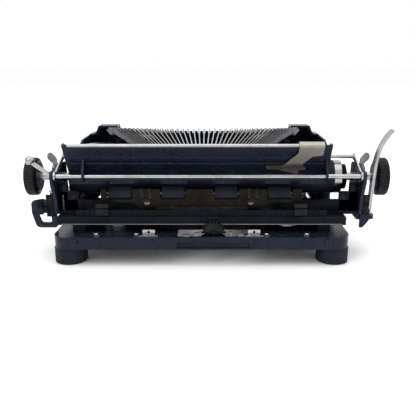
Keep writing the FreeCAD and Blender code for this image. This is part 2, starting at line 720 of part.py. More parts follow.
def segment():
    ring = fan(ring_sector(SEGMENT_INNER, SEGMENT_OUTER, -SEGMENT_DROP, SEGMENT_RISE, SEGMENT_HALF_ANGLE), 0)
    foot = box(-16, 16, STRAP_FRONT + 2, STRAP_REAR - 6, BASE_TOP, BASE_TOP + 7)
    slot_half = BAR_THICK / 2 + SLOT_GAP
    slot = rod_y(-slot_half, slot_half, PIVOT_RADIUS, 0, SEGMENT_SLOT_RADIUS)
    return [fused(ring, foot).cut([fan(slot, angle) for angle in fan_angles()])]


def typebar_rest():
    slope = math.tan(math.radians(ARM_SLOPE))
    under = BAR_HALF_HEIGHT / math.cos(math.radians(ARM_SLOPE))
    top = SLUG_RISE - (SLUG_RADIUS - REST_INNER) * slope - under - RUNNING_GAP
    ring = fan(ring_sector(REST_INNER, REST_OUTER, top - REST_HEIGHT, top, SEGMENT_HALF_ANGLE), 0)
    posts = []
    for angle in REST_POST_ANGLES:
        head = V((REST_INNER + REST_OUTER) / 2, 0, top - REST_HEIGHT / 2)
        marker = fan(Part.Vertex(head), angle).Point
        posts.append(rod_z(RIBBON_DECK_TOP, marker.z, marker.x, marker.y, REST_POST_RADIUS))
    return [fused(ring, *posts)]


def type_guide():
    prong = [(-31, BASE_TOP), (-23, BASE_TOP), (-23, BASE_TOP + 2), (-27.5, BASE_TOP + 5, 3),
             (-27.5, GUIDE_TOP, 2), (-36, GUIDE_TOP, 2), (-36, GUIDE_TOP - 14), (-31, GUIDE_TOP - 18)]
    right = prism(prong, "yz", GUIDE_HALF_GAP, GUIDE_HALF_WIDTH)
    left = prism(prong, "yz", -GUIDE_HALF_WIDTH, -GUIDE_HALF_GAP)
    foot = box(-14, 14, -31, -23, BASE_TOP, BASE_TOP + 2)
    return [fused(foot, left, right)]


def ribbon_carrier():
    cross = BASE_TOP + 22
    outer = CARRIER_HALF_WIDTH
    inner = CARRIER_HALF_GAP
    outline = [(-3, BASE_TOP + RUNNING_GAP), (3, BASE_TOP + RUNNING_GAP), (3, cross, 2), (outer, cross, 2),
               (outer, CARRIER_TOP, 1), (inner, CARRIER_TOP, 1), (inner, cross + 5, 2), (-inner, cross + 5, 2),
               (-inner, CARRIER_TOP, 1), (-outer, CARRIER_TOP, 1), (-outer, cross, 2), (-3, cross, 2)]
    return [prism(outline, "xz", CARRIER_Y, CARRIER_Y + CARRIER_THICK)]


# Carriage bed

def carriage_rails():
    half = RAIL_LENGTH / 2
    return [rod_x(-half, half, y, RAIL_Z, RAIL_RADIUS) for y in (FRONT_RAIL_Y, REAR_RAIL_Y)]


def rail_posts():
    posts = []
    for y in (FRONT_RAIL_Y, REAR_RAIL_Y):
        for side in (-1, 1):
            x = side * RAIL_POST_X
            half = RAIL_POST_SIZE / 2
            post = box(x - 6, x + 6, y - half, y + half, BASE_TOP, RAIL_Z)
            post = post.cut(rod_x(x - 7, x + 7, y, RAIL_Z, RAIL_RADIUS))
            posts.append(post)
    return posts


def carriage_truck():
    half = TRUCK_LENGTH / 2
    bottom = TRUCK_BOTTOM - TRUCK_LIP_DROP
    front = TRUCK_FRONT + TRUCK_LIP
    rear = TRUCK_REAR - TRUCK_LIP
    outline = [(TRUCK_FRONT, bottom, 1), (front, bottom, 1), (front, TRUCK_BOTTOM), (rear, TRUCK_BOTTOM),
               (rear, bottom, 1), (TRUCK_REAR, bottom, 1), (TRUCK_REAR, TRUCK_TOP, 1), (TRUCK_FRONT, TRUCK_TOP, 1)]
    return [prism(outline, "yz", -half, half)]


def escapement_rack():
    root = RACK_PITCH_Z + TOOTH_DEDENDUM
    tip = RACK_PITCH_Z - TOOTH_ADDENDUM
    half = TOOTH_SHARE * RACK_PITCH / 2
    root_half = half + TOOTH_DEDENDUM * PRESSURE_SLOPE
    tip_half = half - TOOTH_ADDENDUM * PRESSURE_SLOPE
    end = (RACK_TEETH_EACH_SIDE + 1) * RACK_PITCH
    points = [(PINION_X + end, TRUCK_BOTTOM), (PINION_X - end, TRUCK_BOTTOM), (PINION_X - end, root)]
    for i in range(-RACK_TEETH_EACH_SIDE, RACK_TEETH_EACH_SIDE + 1):
        x = PINION_X + i * RACK_PITCH
        points += [(x - root_half, root), (x - tip_half, tip), (x + tip_half, tip), (x + root_half, root)]
    points.append((PINION_X + end, root))
    return [prism(points, "xz", RACK_Y, RACK_Y + RACK_DEPTH)]


def escapement_wheel():
    half = TOOTH_SHARE * RACK_PITCH / 2
    root = PINION_RADIUS - TOOTH_DEDENDUM
    tip = PINION_RADIUS + TOOTH_ADDENDUM
    root_half = (half + TOOTH_DEDENDUM * PRESSURE_SLOPE) / root
    tip_half = (half - TOOTH_ADDENDUM * PRESSURE_SLOPE) / tip
    turn = math.pi / 2 + math.pi / PINION_TEETH
    teeth = gear_outline(PINION_TEETH, root, tip, root_half, tip_half, turn)
    pinion = prism(moved(teeth, PINION_X, PINION_Z), "xz", RACK_Y, RACK_Y + RACK_DEPTH)
    claws = gear_outline(ESCAPE_WHEEL_TEETH, ESCAPE_WHEEL_RADIUS - 3, ESCAPE_WHEEL_RADIUS, 0.09, 0.04, 0)
    wheel = prism(moved(claws, PINION_X, PINION_Z), "xz", ESCAPE_WHEEL_Y, ESCAPE_WHEEL_Y + ESCAPE_WHEEL_THICK)
    shaft_end = ESCAPE_WHEEL_Y + ESCAPE_WHEEL_THICK + 2
    shaft = rod_y(RACK_Y - 3, shaft_end, PINION_X, PINION_Z, ESCAPE_SHAFT_RADIUS)
    return [fused(shaft, pinion, wheel)]


def escapement_bracket():
    left = REAR_RECESS_LEFT - 6
    right = REAR_RECESS_RIGHT + 6
    top = RAIL_Z - RAIL_RADIUS - 0.5
    rear = ESCAPE_BRACKET_Y + ESCAPE_BRACKET_THICK
    dip = PINION_Z - 7
    outline = [(left, BASE_TOP), (REAR_RECESS_LEFT + 24, BASE_TOP, 2), (REAR_RECESS_LEFT + 26, dip, 2),
               (REAR_RECESS_RIGHT - 26, dip, 2), (REAR_RECESS_RIGHT - 24, BASE_TOP, 2), (right, BASE_TOP),
               (right, BASE_TOP + 2.5, 1), (PINION_X + 14, top, 3), (PINION_X - 14, top, 3),
               (left, BASE_TOP + 2.5, 1)]
    plate = prism(outline, "xz", ESCAPE_BRACKET_Y, rear)
    bore = rod_y(ESCAPE_BRACKET_Y, rear, PINION_X, PINION_Z, ESCAPE_SHAFT_RADIUS + BORE_GAP)
    return [plate.cut(bore)]


def mainspring_drum():
    bore = ARBOR_RADIUS + BORE_GAP
    lip = 0.8
    waist = DRUM_RADIUS - lip
    profile = [(bore, 0), (DRUM_RADIUS, 0), (DRUM_RADIUS, lip), (waist, lip), (waist, DRUM_HEIGHT - lip),
               (DRUM_RADIUS, DRUM_HEIGHT - lip), (DRUM_RADIUS, DRUM_HEIGHT), (bore, DRUM_HEIGHT)]
    return [turned(profile, V(DRUM_X, DRUM_Y, BASE_TOP + RUNNING_GAP), V(0, 0, 1))]


def bell():
    profile = [(0, 0), (3, 0), (3, BELL_HEIGHT - 3), (BELL_RADIUS - 2.2, BELL_HEIGHT - 3),
               (BELL_RADIUS - 1.2, 0.8), (BELL_RADIUS, 0.8), (BELL_RADIUS - 0.8, BELL_HEIGHT - 2.4),
               (BELL_RADIUS - 3, BELL_HEIGHT - 0.8), (4, BELL_HEIGHT), (0, BELL_HEIGHT)]
    return [turned(profile, V(BELL_X, BELL_Y, BASE_TOP), V(0, 0, 1))]


def margin_rail():
    half = MARGIN_RAIL_LENGTH / 2
    top = TRUCK_TOP + MARGIN_RAIL_HEIGHT
    bar = box(-half, half, MARGIN_RAIL_Y, MARGIN_RAIL_Y + MARGIN_RAIL_THICK, TRUCK_TOP, top)
    step = 2 * RACK_PITCH
    count = int(half / step)
    notches = []
    for i in range(-count + 1, count):
        x = i * step
        rear = MARGIN_RAIL_Y + MARGIN_RAIL_THICK
        notches.append(box(x - step / 4, x + step / 4, rear - 0.8, rear, TRUCK_TOP + 1.2, top - 1.2))
    return [bar.cut(notches)]


def margin_stop(side):
    x = side * MARGIN_STOP_X
    half = MARGIN_STOP_WIDTH / 2
    front = MARGIN_RAIL_Y - RUNNING_GAP
    rear = MARGIN_RAIL_Y + MARGIN_RAIL_THICK + RUNNING_GAP
    rail_top = TRUCK_TOP + MARGIN_RAIL_HEIGHT + RUNNING_GAP
    low = TRUCK_TOP + 1.5
    outline = [(front - 0.7, low), (front, low), (front, rail_top), (rear, rail_top), (rear, low),
               (rear + 1.4, low), (rear + 1.4, rail_top + 1, 0.6), (rear - 1, rail_top + 2, 0.6),
               (rear - 1, rail_top + 6, 0.6),
               (rear - 3, rail_top + 6, 0.6), (rear - 3, rail_top + 1.4), (front - 0.7, rail_top + 1.4)]
    return [prism(outline, "yz", x - half, x + half)]


# Upper carriage

def carriage_frame():
    return [box(LEFT_PLATE_X, RIGHT_PLATE_X, FRAME_FRONT, FRAME_REAR, FRAME_BOTTOM, FRAME_TOP)]


def end_outline():
    rear = TIE_ROD_Y + 5
    return [(FRAME_FRONT, FRAME_BOTTOM, 2), (FRAME_REAR + 2, FRAME_BOTTOM, 2), (TIE_ROD_Y - 4, PLATEN_Z - 16, 6),
            (rear, TIE_ROD_Z - 6, 4), (rear, TIE_ROD_Z + 5, 4), (TIE_ROD_Y - 8, TIE_ROD_Z + 5, 6),
            (14, PLATEN_Z + 16, 5), (-9, PLATEN_Z + 14, 6), (FRAME_FRONT, PLATEN_Z, 8)]


def end_plate(inner, outer):
    low = min(inner, outer)
    high = max(inner, outer)
    plate = prism(end_outline(), "yz", low, high)
    out = 1 if outer > inner else -1
    boss = rod_x(min(outer, outer + 4 * out), max(outer, outer + 4 * out), 0, PLATEN_Z, 7)
    ear_pin = rod_x(min(outer, outer + 6 * out), max(outer, outer + 6 * out), EAR_Y, EAR_Z, EAR_PIN_RADIUS)
    shaft_bore = rod_x(low - 10, high + 10, 0, PLATEN_Z, PLATEN_SHAFT_RADIUS + BORE_GAP)
    tie_bore = rod_x(low, high, TIE_ROD_Y, TIE_ROD_Z, TIE_ROD_RADIUS)
    return fused(plate, boss, ear_pin).cut([shaft_bore, tie_bore])


def left_bracket():
    out = LEFT_PLATE_OUT
    reach = out - BRACKET_LEFT_REACH
    outline = [(out, FRAME_BOTTOM + 12, 2), (reach, FRAME_BOTTOM + 4, 4), (reach, BASE_TOP + 9, 4),
               (out - 3, BRACKET_BOTTOM, 2), (out, BRACKET_BOTTOM)]
    return prism(outline, "xz", BRACKET_Y, BRACKET_Y + PLATE_THICK)


def right_bracket():
    out = RIGHT_PLATE_OUT
    reach = out + BRACKET_RIGHT_REACH
    bar = 5.0
    outer = [(out, BRACKET_BOTTOM, 2), (reach - 4, BRACKET_BOTTOM, 5), (reach, FRAME_BOTTOM, 4),
             (reach, FRAME_BOTTOM + 12, 4), (out + 12, FRAME_BOTTOM + 14, 4), (out, FRAME_BOTTOM + 6)]
    inner = [(out + bar, BRACKET_BOTTOM + bar, 2), (reach - 4 - bar, BRACKET_BOTTOM + bar, 3),
             (reach - bar, FRAME_BOTTOM + 2, 2), (out + bar, FRAME_BOTTOM, 2)]
    loop = prism(outer, "xz", BRACKET_Y, BRACKET_Y + PLATE_THICK)
    return loop.cut(prism(inner, "xz", BRACKET_Y, BRACKET_Y + PLATE_THICK))


def carriage_end_left():
    lug = prism([(RETURN_X - 7, RETURN_Y - 8, 5), (LEFT_PLATE_X, RETURN_Y - 8), (LEFT_PLATE_X, RETURN_Y + 8),
                 (RETURN_X - 7, RETURN_Y + 8, 5)], "xy", RETURN_LUG_TOP - 4, RETURN_LUG_TOP)
    riser = box(LEFT_PLATE_OUT, LEFT_PLATE_X, RETURN_Y - 8, RETURN_Y + 8, RETURN_LUG_TOP - 4, FRAME_TOP)
    pin = rod_z(RETURN_LUG_TOP - 1, RETURN_LUG_TOP + 9, RETURN_X, RETURN_Y, RETURN_PIN_RADIUS)
    return [fused(end_plate(LEFT_PLATE_X, LEFT_PLATE_OUT), lug, riser, pin, left_bracket())]


def carriage_end_right():
    release_pin = rod_x(RIGHT_PLATE_OUT - 1, RIGHT_PLATE_OUT + 6.5, RELEASE_Y, RELEASE_Z, RELEASE_PIN_RADIUS)
    return [fused(end_plate(RIGHT_PLATE_X, RIGHT_PLATE_OUT), release_pin, right_bracket())]


def tie_rod():
    return [rod_x(LEFT_PLATE_OUT, RIGHT_PLATE_OUT, TIE_ROD_Y, TIE_ROD_Z, TIE_ROD_RADIUS)]


def platen_roller():
    tube = rod_x(-PLATEN_HALF_LENGTH, PLATEN_HALF_LENGTH, 0, PLATEN_Z, PLATEN_RADIUS)
    return [tube.cut(rod_x(-PLATEN_HALF_LENGTH, PLATEN_HALF_LENGTH, 0, PLATEN_Z, PLATEN_SHAFT_RADIUS))]


def platen_shaft():
    left = LEFT_KNOB_X - KNOB_SOCKET
    right = RIGHT_KNOB_X + KNOB_SOCKET
    return [rod_x(left, right, 0, PLATEN_Z, PLATEN_SHAFT_RADIUS)]


def platen_end_ring():
    right = -PLATEN_HALF_LENGTH
    profile = [(PLATEN_SHAFT_RADIUS, 0), (PLATEN_RADIUS - 0.8, 0), (PLATEN_RADIUS, 0.8),
               (PLATEN_RADIUS, END_RING_WIDTH), (PLATEN_SHAFT_RADIUS, END_RING_WIDTH)]
    return turned(profile, V(right - END_RING_WIDTH, 0, PLATEN_Z), V(1, 0, 0))


def line_ratchet():
    right = -PLATEN_HALF_LENGTH - END_RING_WIDTH
    teeth = gear_outline(RATCHET_TEETH, RATCHET_RADIUS - 1.5, RATCHET_RADIUS, 0.08, 0.03, 0)
    wheel = prism(moved(teeth, 0, PLATEN_Z), "yz", right - RATCHET_WIDTH, right)
    return wheel.cut(rod_x(right - RATCHET_WIDTH, right, 0, PLATEN_Z, PLATEN_SHAFT_RADIUS))


def knob(face_x, out):
    width = KNOB_WIDTH
    radius = KNOB_RADIUS
    profile = [(PLATEN_SHAFT_RADIUS, 0), (radius - 5, 0), (radius - 3, 1.5), (radius - 0.8, 2), (radius, 3),
               (radius, width - 2), (radius - 1, width - 1), (radius - 4, width), (0, width), (0, KNOB_SOCKET),
               (PLATEN_SHAFT_RADIUS, KNOB_SOCKET)]
    body = turned(profile, V(face_x, 0, PLATEN_Z), V(out, 0, 0))
    grooves = []
    for i in range(KNOB_RIBS):
        angle = 2 * math.pi * i / KNOB_RIBS
        y = (radius + 0.5) * math.cos(angle)
        z = PLATEN_Z + (radius + 0.5) * math.sin(angle)
        low = min(face_x, face_x + out * width)
        grooves.append(rod_x(low, low + width, y, z, 1.1))
    return body.cut(grooves)


def platen_knobs():
    return [knob(LEFT_KNOB_X, -1), knob(RIGHT_KNOB_X, 1)]


def roller_places():
    first = FEED_ROLLER_MID_X - (FEED_ROLLER_COUNT - 1) * FEED_ROLLER_PITCH / 2
    return [first + i * FEED_ROLLER_PITCH for i in range(FEED_ROLLER_COUNT)]


def feed_rollers():
    half = FEED_ROLLER_LENGTH / 2
    rollers = []
    for x in roller_places():
        roller = rod_x(x - half, x + half, FEED_Y, FEED_Z, FEED_ROLLER_RADIUS)
        rollers.append(roller.cut(rod_x(x - half, x + half, FEED_Y, FEED_Z, FEED_SHAFT_RADIUS)))
    shaft = rod_x(HANGER_LEFT - 2, HANGER_RIGHT + 2, FEED_Y, FEED_Z, FEED_SHAFT_RADIUS)
    return [shaft, *rollers]


def feed_hanger():
    half = FEED_ROLLER_LENGTH / 2 + 1.3
    notch_bottom = FEED_Z - 3
    top = [(HANGER_LEFT, HANGER_TOP, 2)]
    for x in roller_places():
        top += [(x - half, HANGER_TOP, 1), (x - half, notch_bottom, 2), (x + half, notch_bottom, 2),
                (x + half, HANGER_TOP, 1)]
    top.append((HANGER_RIGHT, HANGER_TOP, 2))
    middle = HANGER_LEG_X + HANGER_LEG_WIDTH
    bottom = [(HANGER_RIGHT, HANGER_END_BOTTOM, 3), (middle + 8, HANGER_END_BOTTOM, 4),
              (middle, HANGER_MIDDLE_BOTTOM, 4), (-middle, HANGER_MIDDLE_BOTTOM, 4),
              (-middle - 8, HANGER_END_BOTTOM, 4), (HANGER_LEFT, HANGER_END_BOTTOM, 3)]
    y1 = HANGER_Y + HANGER_THICK
    plate = prism(top + bottom, "xz", HANGER_Y, y1)
    pieces = []
    for side in (-1, 1):
        x = side * HANGER_LEG_X
        leg = HANGER_LEG_WIDTH / 2
        pieces.append(box(x - leg, x + leg, HANGER_Y, y1, FRAME_TOP, HANGER_MIDDLE_BOTTOM + 3))
        pieces.append(box(x - leg, x + leg, HANGER_Y - 9, y1, FRAME_TOP, FRAME_TOP + 1.2))
    for x in (HANGER_LEFT, HANGER_RIGHT - HANGER_THICK):
        ear = [(FEED_Y - 4, FEED_Z - 4, 3), (y1, FEED_Z - 4), (y1, FEED_Z + 4), (FEED_Y - 4, FEED_Z + 4, 3)]
        pieces.append(prism(ear, "yz", x, x + HANGER_THICK))
    bore = rod_x(HANGER_LEFT - 1, HANGER_RIGHT + 1, FEED_Y, FEED_Z, FEED_SHAFT_RADIUS + BORE_GAP)
    return [fused(plate, *pieces).cut(bore)]


def table_lug(x):
    rod_along = (TIE_ROD_Y - TABLE_FOOT_Y) * TABLE_COS + (TIE_ROD_Z - TABLE_FOOT_Z) * TABLE_SIN
    rod_behind = (TIE_ROD_Y - TABLE_FOOT_Y) * TABLE_SIN - (TIE_ROD_Z - TABLE_FOOT_Z) * TABLE_COS
    outline = [(rod_along - 9, TABLE_THICK / 2), (rod_along + 12, TABLE_THICK / 2),
               (rod_along + 4, rod_behind + 4, 3), (rod_along - 4, rod_behind + 4, 3)]
    return table_prism(outline, x, x + 2)


def paper_table():
    half = TABLE_THICK / 2
    section = [(0, -half), (TABLE_LENGTH, -half), (TABLE_LENGTH, half), (0, half)]
    sheet = table_prism(section, TABLE_LEFT, TABLE_RIGHT)
    tail_end = (TABLE_FOOT_Y - 1.8, TABLE_FOOT_Z - TABLE_TAIL_DROP)
    tail = strip((TABLE_FOOT_Y, TABLE_FOOT_Z), tail_end, half, "yz", TABLE_LEFT, TABLE_RIGHT)
    bend = rod_x(TABLE_LEFT, TABLE_RIGHT, TABLE_FOOT_Y, TABLE_FOOT_Z, half)
    pieces = [tail, bend, table_lug(TABLE_LEFT + TABLE_LUG_LEFT_INSET),
              table_lug(TABLE_RIGHT - TABLE_LUG_RIGHT_INSET)]
    for along in TABLE_BEADS:
        pieces.append(rod_x(TABLE_LEFT + 4, TABLE_RIGHT - 4, *table_point(along, half), BEAD_RADIUS))
    for x in (TABLE_LEFT, TABLE_RIGHT - TABLE_THICK):
        cheek = [(2, -half), (TABLE_LENGTH, -half), (TABLE_LENGTH - 3, -half - 5, 3), (10, -half - 5, 4)]
        pieces.append(table_prism(cheek, x, x + TABLE_THICK))
    rod = rod_x(TABLE_LEFT, TABLE_RIGHT, TIE_ROD_Y, TIE_ROD_Z, TIE_ROD_RADIUS)
    return [fused(sheet, *pieces).cut(rod)]


def table_strip():
    half = TABLE_THICK / 2
    skin = half + STRIP_THICK
    low = TABLE_LENGTH - STRIP_DEPTH
    high = TABLE_LENGTH + STRIP_THICK
    outline = [(low, half), (low, skin), (high, skin, 0.7), (high, -skin, 0.7), (low, -skin), (low, -half),
               (TABLE_LENGTH, -half), (TABLE_LENGTH, half)]
    return [table_prism(outline, TABLE_LEFT + PAPER_GUIDE_INSET, TABLE_RIGHT - STRIP_END_GAP)]


def paper_guide():
    skin = TABLE_THICK / 2 + BEAD_RADIUS + RUNNING_GAP
    top = TABLE_LENGTH + STRIP_THICK + RUNNING_GAP
    outer = skin + PAPER_GUIDE_THICK
    hook = top - PAPER_GUIDE_HOOK
    crown = top + PAPER_GUIDE_THICK
    outline = [(hook, -outer), (hook, -skin), (top, -skin), (top, skin), (PAPER_GUIDE_FOOT, skin),
               (PAPER_GUIDE_FOOT, outer), (crown, outer, 1.5), (crown, -outer, 1.5)]
    left = TABLE_LEFT + PAPER_GUIDE_INSET
    bent = table_prism(outline, left - 1, left + PAPER_GUIDE_WIDTH + 1)
    outer_edge = [(0, 15), (0, -10.5, 2), (9.5, -11.5, 3), (19.5, -21.5, 2)]
    outer_tab = [(14, -22.5, 1.2), (14, -25.5, 1.2), (20, -26.5, 1), (21, -31, 1.5)]
    pointer = [(40, -26, 3), (PAPER_GUIDE_WIDTH, -25, 1.5), (PAPER_GUIDE_WIDTH, -21.5, 1.5), (36, -21, 3)]
    inner_edge = [(23, -8, 3), (23, 15)]
    shape = outer_edge + outer_tab + pointer + inner_edge
    mask = prism(moved(shape, left, TABLE_TOP_Z), "xz", TABLE_FOOT_Y - 6, TABLE_TOP_Y + 12)
    return [bent.common(mask)]


def bail_arm(x):
    half = BAIL_ARM_HEIGHT / 2
    arm = strip((TIE_ROD_Y, TIE_ROD_Z), (BAIL_Y, BAIL_Z), half, "yz", x, x + BAIL_ARM_THICK)
    hub = rod_x(x, x + BAIL_ARM_THICK, TIE_ROD_Y, TIE_ROD_Z, half + 2)
    tip = rod_x(x, x + BAIL_ARM_THICK, BAIL_Y, BAIL_Z, half + 0.8)
    return [arm, hub, tip]


def bail_ends():
    return LEFT_PLATE_X + RUNNING_GAP, RIGHT_PLATE_X - RUNNING_GAP - BAIL_ARM_THICK


def paper_bail():
    left, right = bail_ends()
    rod = rod_x(left, right + BAIL_ARM_THICK, BAIL_Y, BAIL_Z, BAIL_ROD_RADIUS)
    bore = rod_x(left, right + BAIL_ARM_THICK, TIE_ROD_Y, TIE_ROD_Z, TIE_ROD_RADIUS + BORE_GAP)
    return [fused(rod, *bail_arm(left), *bail_arm(right)).cut(bore)]


def bail_rollers():
    half = BAIL_ROLLER_WIDTH / 2
    rollers = []
    for side in (-1, 1):
        x = side * BAIL_ROLLER_X
        roller = rod_x(x - half, x + half, BAIL_Y, BAIL_Z, BAIL_ROLLER_RADIUS)
        rollers.append(roller.cut(rod_x(x - half, x + half, BAIL_Y, BAIL_Z, BAIL_ROD_RADIUS + BORE_GAP)))
    return rollers


def carriage_release(plate, out):
    hub_in = plate + out * RUNNING_GAP
    hub_out = plate + out * 5
    low = min(hub_in, hub_out)
    high = max(hub_in, hub_out)
    hub = rod_x(low, high, EAR_Y, EAR_Z, 4)
    tip = plate + out * 9
    foot = plate + out * RUNNING_GAP
    leaf = [(foot, EAR_Z), (foot + out * 4, EAR_Z), (foot + out * 4.5, EAR_Z + 5, 2),
            (tip + out * EAR_WIDTH / 4, EAR_Z + EAR_HEIGHT - 6, 5), (tip - out * 2, EAR_Z + EAR_HEIGHT, 2.5),
            (foot + out * 0.5, EAR_Z + EAR_HEIGHT - 7, 5), (foot, EAR_Z + 5, 2)]
    blade = prism(leaf, "xz", EAR_Y - EAR_THICK / 2, EAR_Y + EAR_THICK / 2)
    bore = rod_x(low, high, EAR_Y, EAR_Z, EAR_PIN_RADIUS + BORE_GAP)
    return [fused(hub, blade).cut(bore)]


def paper_release():
    hub_in = RIGHT_PLATE_OUT + RUNNING_GAP
    hub = rod_x(hub_in, hub_in + 5, RELEASE_Y, RELEASE_Z, 5)
    half = 2.5
    upright = box(hub_in + 2, hub_in + 4.5, RELEASE_Y - half, RELEASE_Y + half, RELEASE_Z, RELEASE_Z + 16)
    reach = strip((hub_in + 3.2, RELEASE_Z + 15), (BALL_X - 2, BALL_Z - 2), 1.3, "xz", RELEASE_Y - half,
                  RELEASE_Y + half)
    ball = Part.makeSphere(BALL_RADIUS, V(BALL_X, RELEASE_Y, BALL_Z))
    bore = rod_x(hub_in, hub_in + 5, RELEASE_Y, RELEASE_Z, RELEASE_PIN_RADIUS + BORE_GAP)
    return [fused(hub, upright, reach, ball).cut(bore)]


def return_lever():
    left = []
    right = []
    path = [(RETURN_X - reach, z) for reach, z in RETURN_BENDS]
    last = len(path) - 1
    for i, (x, z) in enumerate(path):
        before = path[max(i - 1, 0)]
        after = path[min(i + 1, last)]
        run = math.hypot(after[0] - before[0], after[1] - before[1])
        across = V(-(after[1] - before[1]) / run, 0, (after[0] - before[0]) / run) * (RETURN_THICK / 2)
        place = V(x, RETURN_Y - RETURN_WIDTH / 2, z)
        left.append(place + across)
        right.append(place - across)
    curves = []
    for points in (left, right):
        curve = Part.BSplineCurve()
        curve.interpolate(points)
        curves.append(curve.toShape())
    ends = [Part.makeLine(left[0], right[0]), Part.makeLine(left[-1], right[-1])]
    wire = Part.Wire(Part.sortEdges(curves + ends)[0])
    blade = Part.Face(wire).extrude(V(0, RETURN_WIDTH, 0))
    bottom = RETURN_LUG_TOP + RUNNING_GAP
    hub = rod_z(bottom, bottom + 8, RETURN_X, RETURN_Y, 5.5)
    bore = rod_z(bottom, bottom + 10, RETURN_X, RETURN_Y, RETURN_PIN_RADIUS + BORE_GAP)
    return [fused(hub, blade).cut(bore)]


def screw_head(place, axis):
    profile = [(0, 0), (3.2, 0), (3.2, 1.2), (2.2, 2.0), (0, 2.0)]
    return turned(profile, place, axis)


def frame_screws():
    heads = []
    for side in (-1, 1):
        for x in DECK_SCREW_PLACES:
            heads.append(screw_head(V(side * x, BASE_REAR - DECK_SCREW_INSET, BASE_TOP), V(0, 0, 1)))
        bolt = V(side * (HALF_WIDTH - REAR_BOLT_INSET), BASE_REAR, BASE_BOTTOM + REAR_BOLT_RISE)
        heads.append(screw_head(bolt, V(0, 1, 0)))
    return heads


NODES = {
    "base_frame": base_frame(),
    "rubber_feet": rubber_feet(),
    "body_shell": body_shell(),
    "ribbon_deck": ribbon_deck(),
    "ribbon_spool_left": ribbon_spool(-1),
    "ribbon_spool_right": ribbon_spool(1),
    "fulcrum_shaft": fulcrum_shaft(),
    "lever_comb": lever_comb(),
    "frame_screws": frame_screws(),
    "key_levers_row_1": row_levers(0),
    "key_levers_row_2": row_levers(1),
    "key_levers_row_3": row_levers(2),
    "key_levers_row_4": row_levers(3),
    "key_tops_row_1": row_tops(0),
    "key_tops_row_2": row_tops(1),
    "key_tops_row_3": row_tops(2),
    "key_tops_row_4": row_tops(3),
    "strike_key": single_key(STRIKE_ROW_INDEX, STRIKE_COLUMN_INDEX),
    "backspace_key": single_key(0, -1),
    "margin_release_key": single_key(0, ROW_KEYS[0]),
    "shift_key_left": shift_key(-1),
    "shift_key_right": shift_key(ROW_KEYS[3]),
    "shift_bar": shift_bar(),
    "space_bar": space_bar(),
    "segment": segment(),
    "typebars": typebars(),
    "strike_typebar": strike_typebar(),
    "typebar_rest": typebar_rest(),
    "type_guide": type_guide(),
    "ribbon_carrier": ribbon_carrier(),
    "carriage_rails": carriage_rails(),
    "rail_posts": rail_posts(),
    "carriage_truck": carriage_truck(),
    "escapement_rack": escapement_rack(),
    "escapement_wheel": escapement_wheel(),
    "escapement_bracket": escapement_bracket(),
    "mainspring_drum": mainspring_drum(),
    "bell": bell(),
    "margin_rail": margin_rail(),
    "margin_stop_left": margin_stop(-1),
    "margin_stop_right": margin_stop(1),
    "carriage_frame": carriage_frame(),
    "carriage_end_left": carriage_end_left(),
    "carriage_end_right": carriage_end_right(),
    "tie_rod": tie_rod(),
    "platen_roller": platen_roller(),
    "platen_shaft": platen_shaft(),
    "line_ratchet": [platen_end_ring(), line_ratchet()],
    "platen_knobs": platen_knobs(),
    "feed_rollers": feed_rollers(),
    "feed_hanger": feed_hanger(),
    "paper_table": paper_table(),
    "table_strip": table_strip(),
    "paper_guide": paper_guide(),
    "paper_bail": paper_bail(),
    "bail_rollers": bail_rollers(),
    "carriage_release_left": carriage_release(LEFT_PLATE_OUT, -1),
    "carriage_release_right": carriage_release(RIGHT_PLATE_OUT, 1),
    "paper_release": paper_release(),
    "return_lever": return_lever(),
}

for name, solids in NODES.items():
    shape = solids[0] if len(solids) == 1 else Part.makeCompound(solids)
    shape = shape.copy()
    shape.translate(ORIGIN * -1)
    shape.exportStep(f"parts/{name}.step")
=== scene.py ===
import math

import bpy
from mathutils import Matrix, Vector


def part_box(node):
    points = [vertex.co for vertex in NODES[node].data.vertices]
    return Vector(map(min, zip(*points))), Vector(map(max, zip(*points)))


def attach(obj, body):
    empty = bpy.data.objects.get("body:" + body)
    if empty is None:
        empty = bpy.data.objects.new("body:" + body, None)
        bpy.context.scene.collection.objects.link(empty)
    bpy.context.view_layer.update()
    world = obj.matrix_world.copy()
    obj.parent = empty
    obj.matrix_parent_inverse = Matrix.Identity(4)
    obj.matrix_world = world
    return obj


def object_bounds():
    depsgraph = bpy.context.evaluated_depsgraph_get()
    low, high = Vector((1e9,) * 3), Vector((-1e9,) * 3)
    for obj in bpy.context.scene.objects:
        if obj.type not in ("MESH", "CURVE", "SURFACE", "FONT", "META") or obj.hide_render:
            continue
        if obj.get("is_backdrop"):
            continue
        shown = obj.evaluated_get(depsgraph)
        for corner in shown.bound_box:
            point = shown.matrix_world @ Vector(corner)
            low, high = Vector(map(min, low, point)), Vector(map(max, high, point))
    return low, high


bl_info = {
    "name": "Portable typewriter finish",
    "version": (1, 0, 0),
    "blender": (4, 5, 0),
    "location": "View3D > Sidebar > Typewriter",
    "description": "Finishes the pieces of a portable typewriter and sets its studio",
    "category": "Object",
}

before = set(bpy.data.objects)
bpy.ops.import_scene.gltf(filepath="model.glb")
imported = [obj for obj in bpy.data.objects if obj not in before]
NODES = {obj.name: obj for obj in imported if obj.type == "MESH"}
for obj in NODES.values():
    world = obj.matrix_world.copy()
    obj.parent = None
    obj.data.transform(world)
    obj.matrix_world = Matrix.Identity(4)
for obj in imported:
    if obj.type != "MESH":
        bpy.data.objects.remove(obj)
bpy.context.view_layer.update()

# All lengths are in metres

# Limits between the finishes of CAD pieces that have two
RATCHET_TEETH_WIDTH = 0.0058
BRIGHT_BARS_MARGIN = 0.012
ROLLER_SHAFT_SHARE = 0.35
SPACE_BAR_CAP_HEIGHT = 0.0081
SPOOL_FLANGE = 0.0012
SPOOL_CORE_SHARE = 0.5

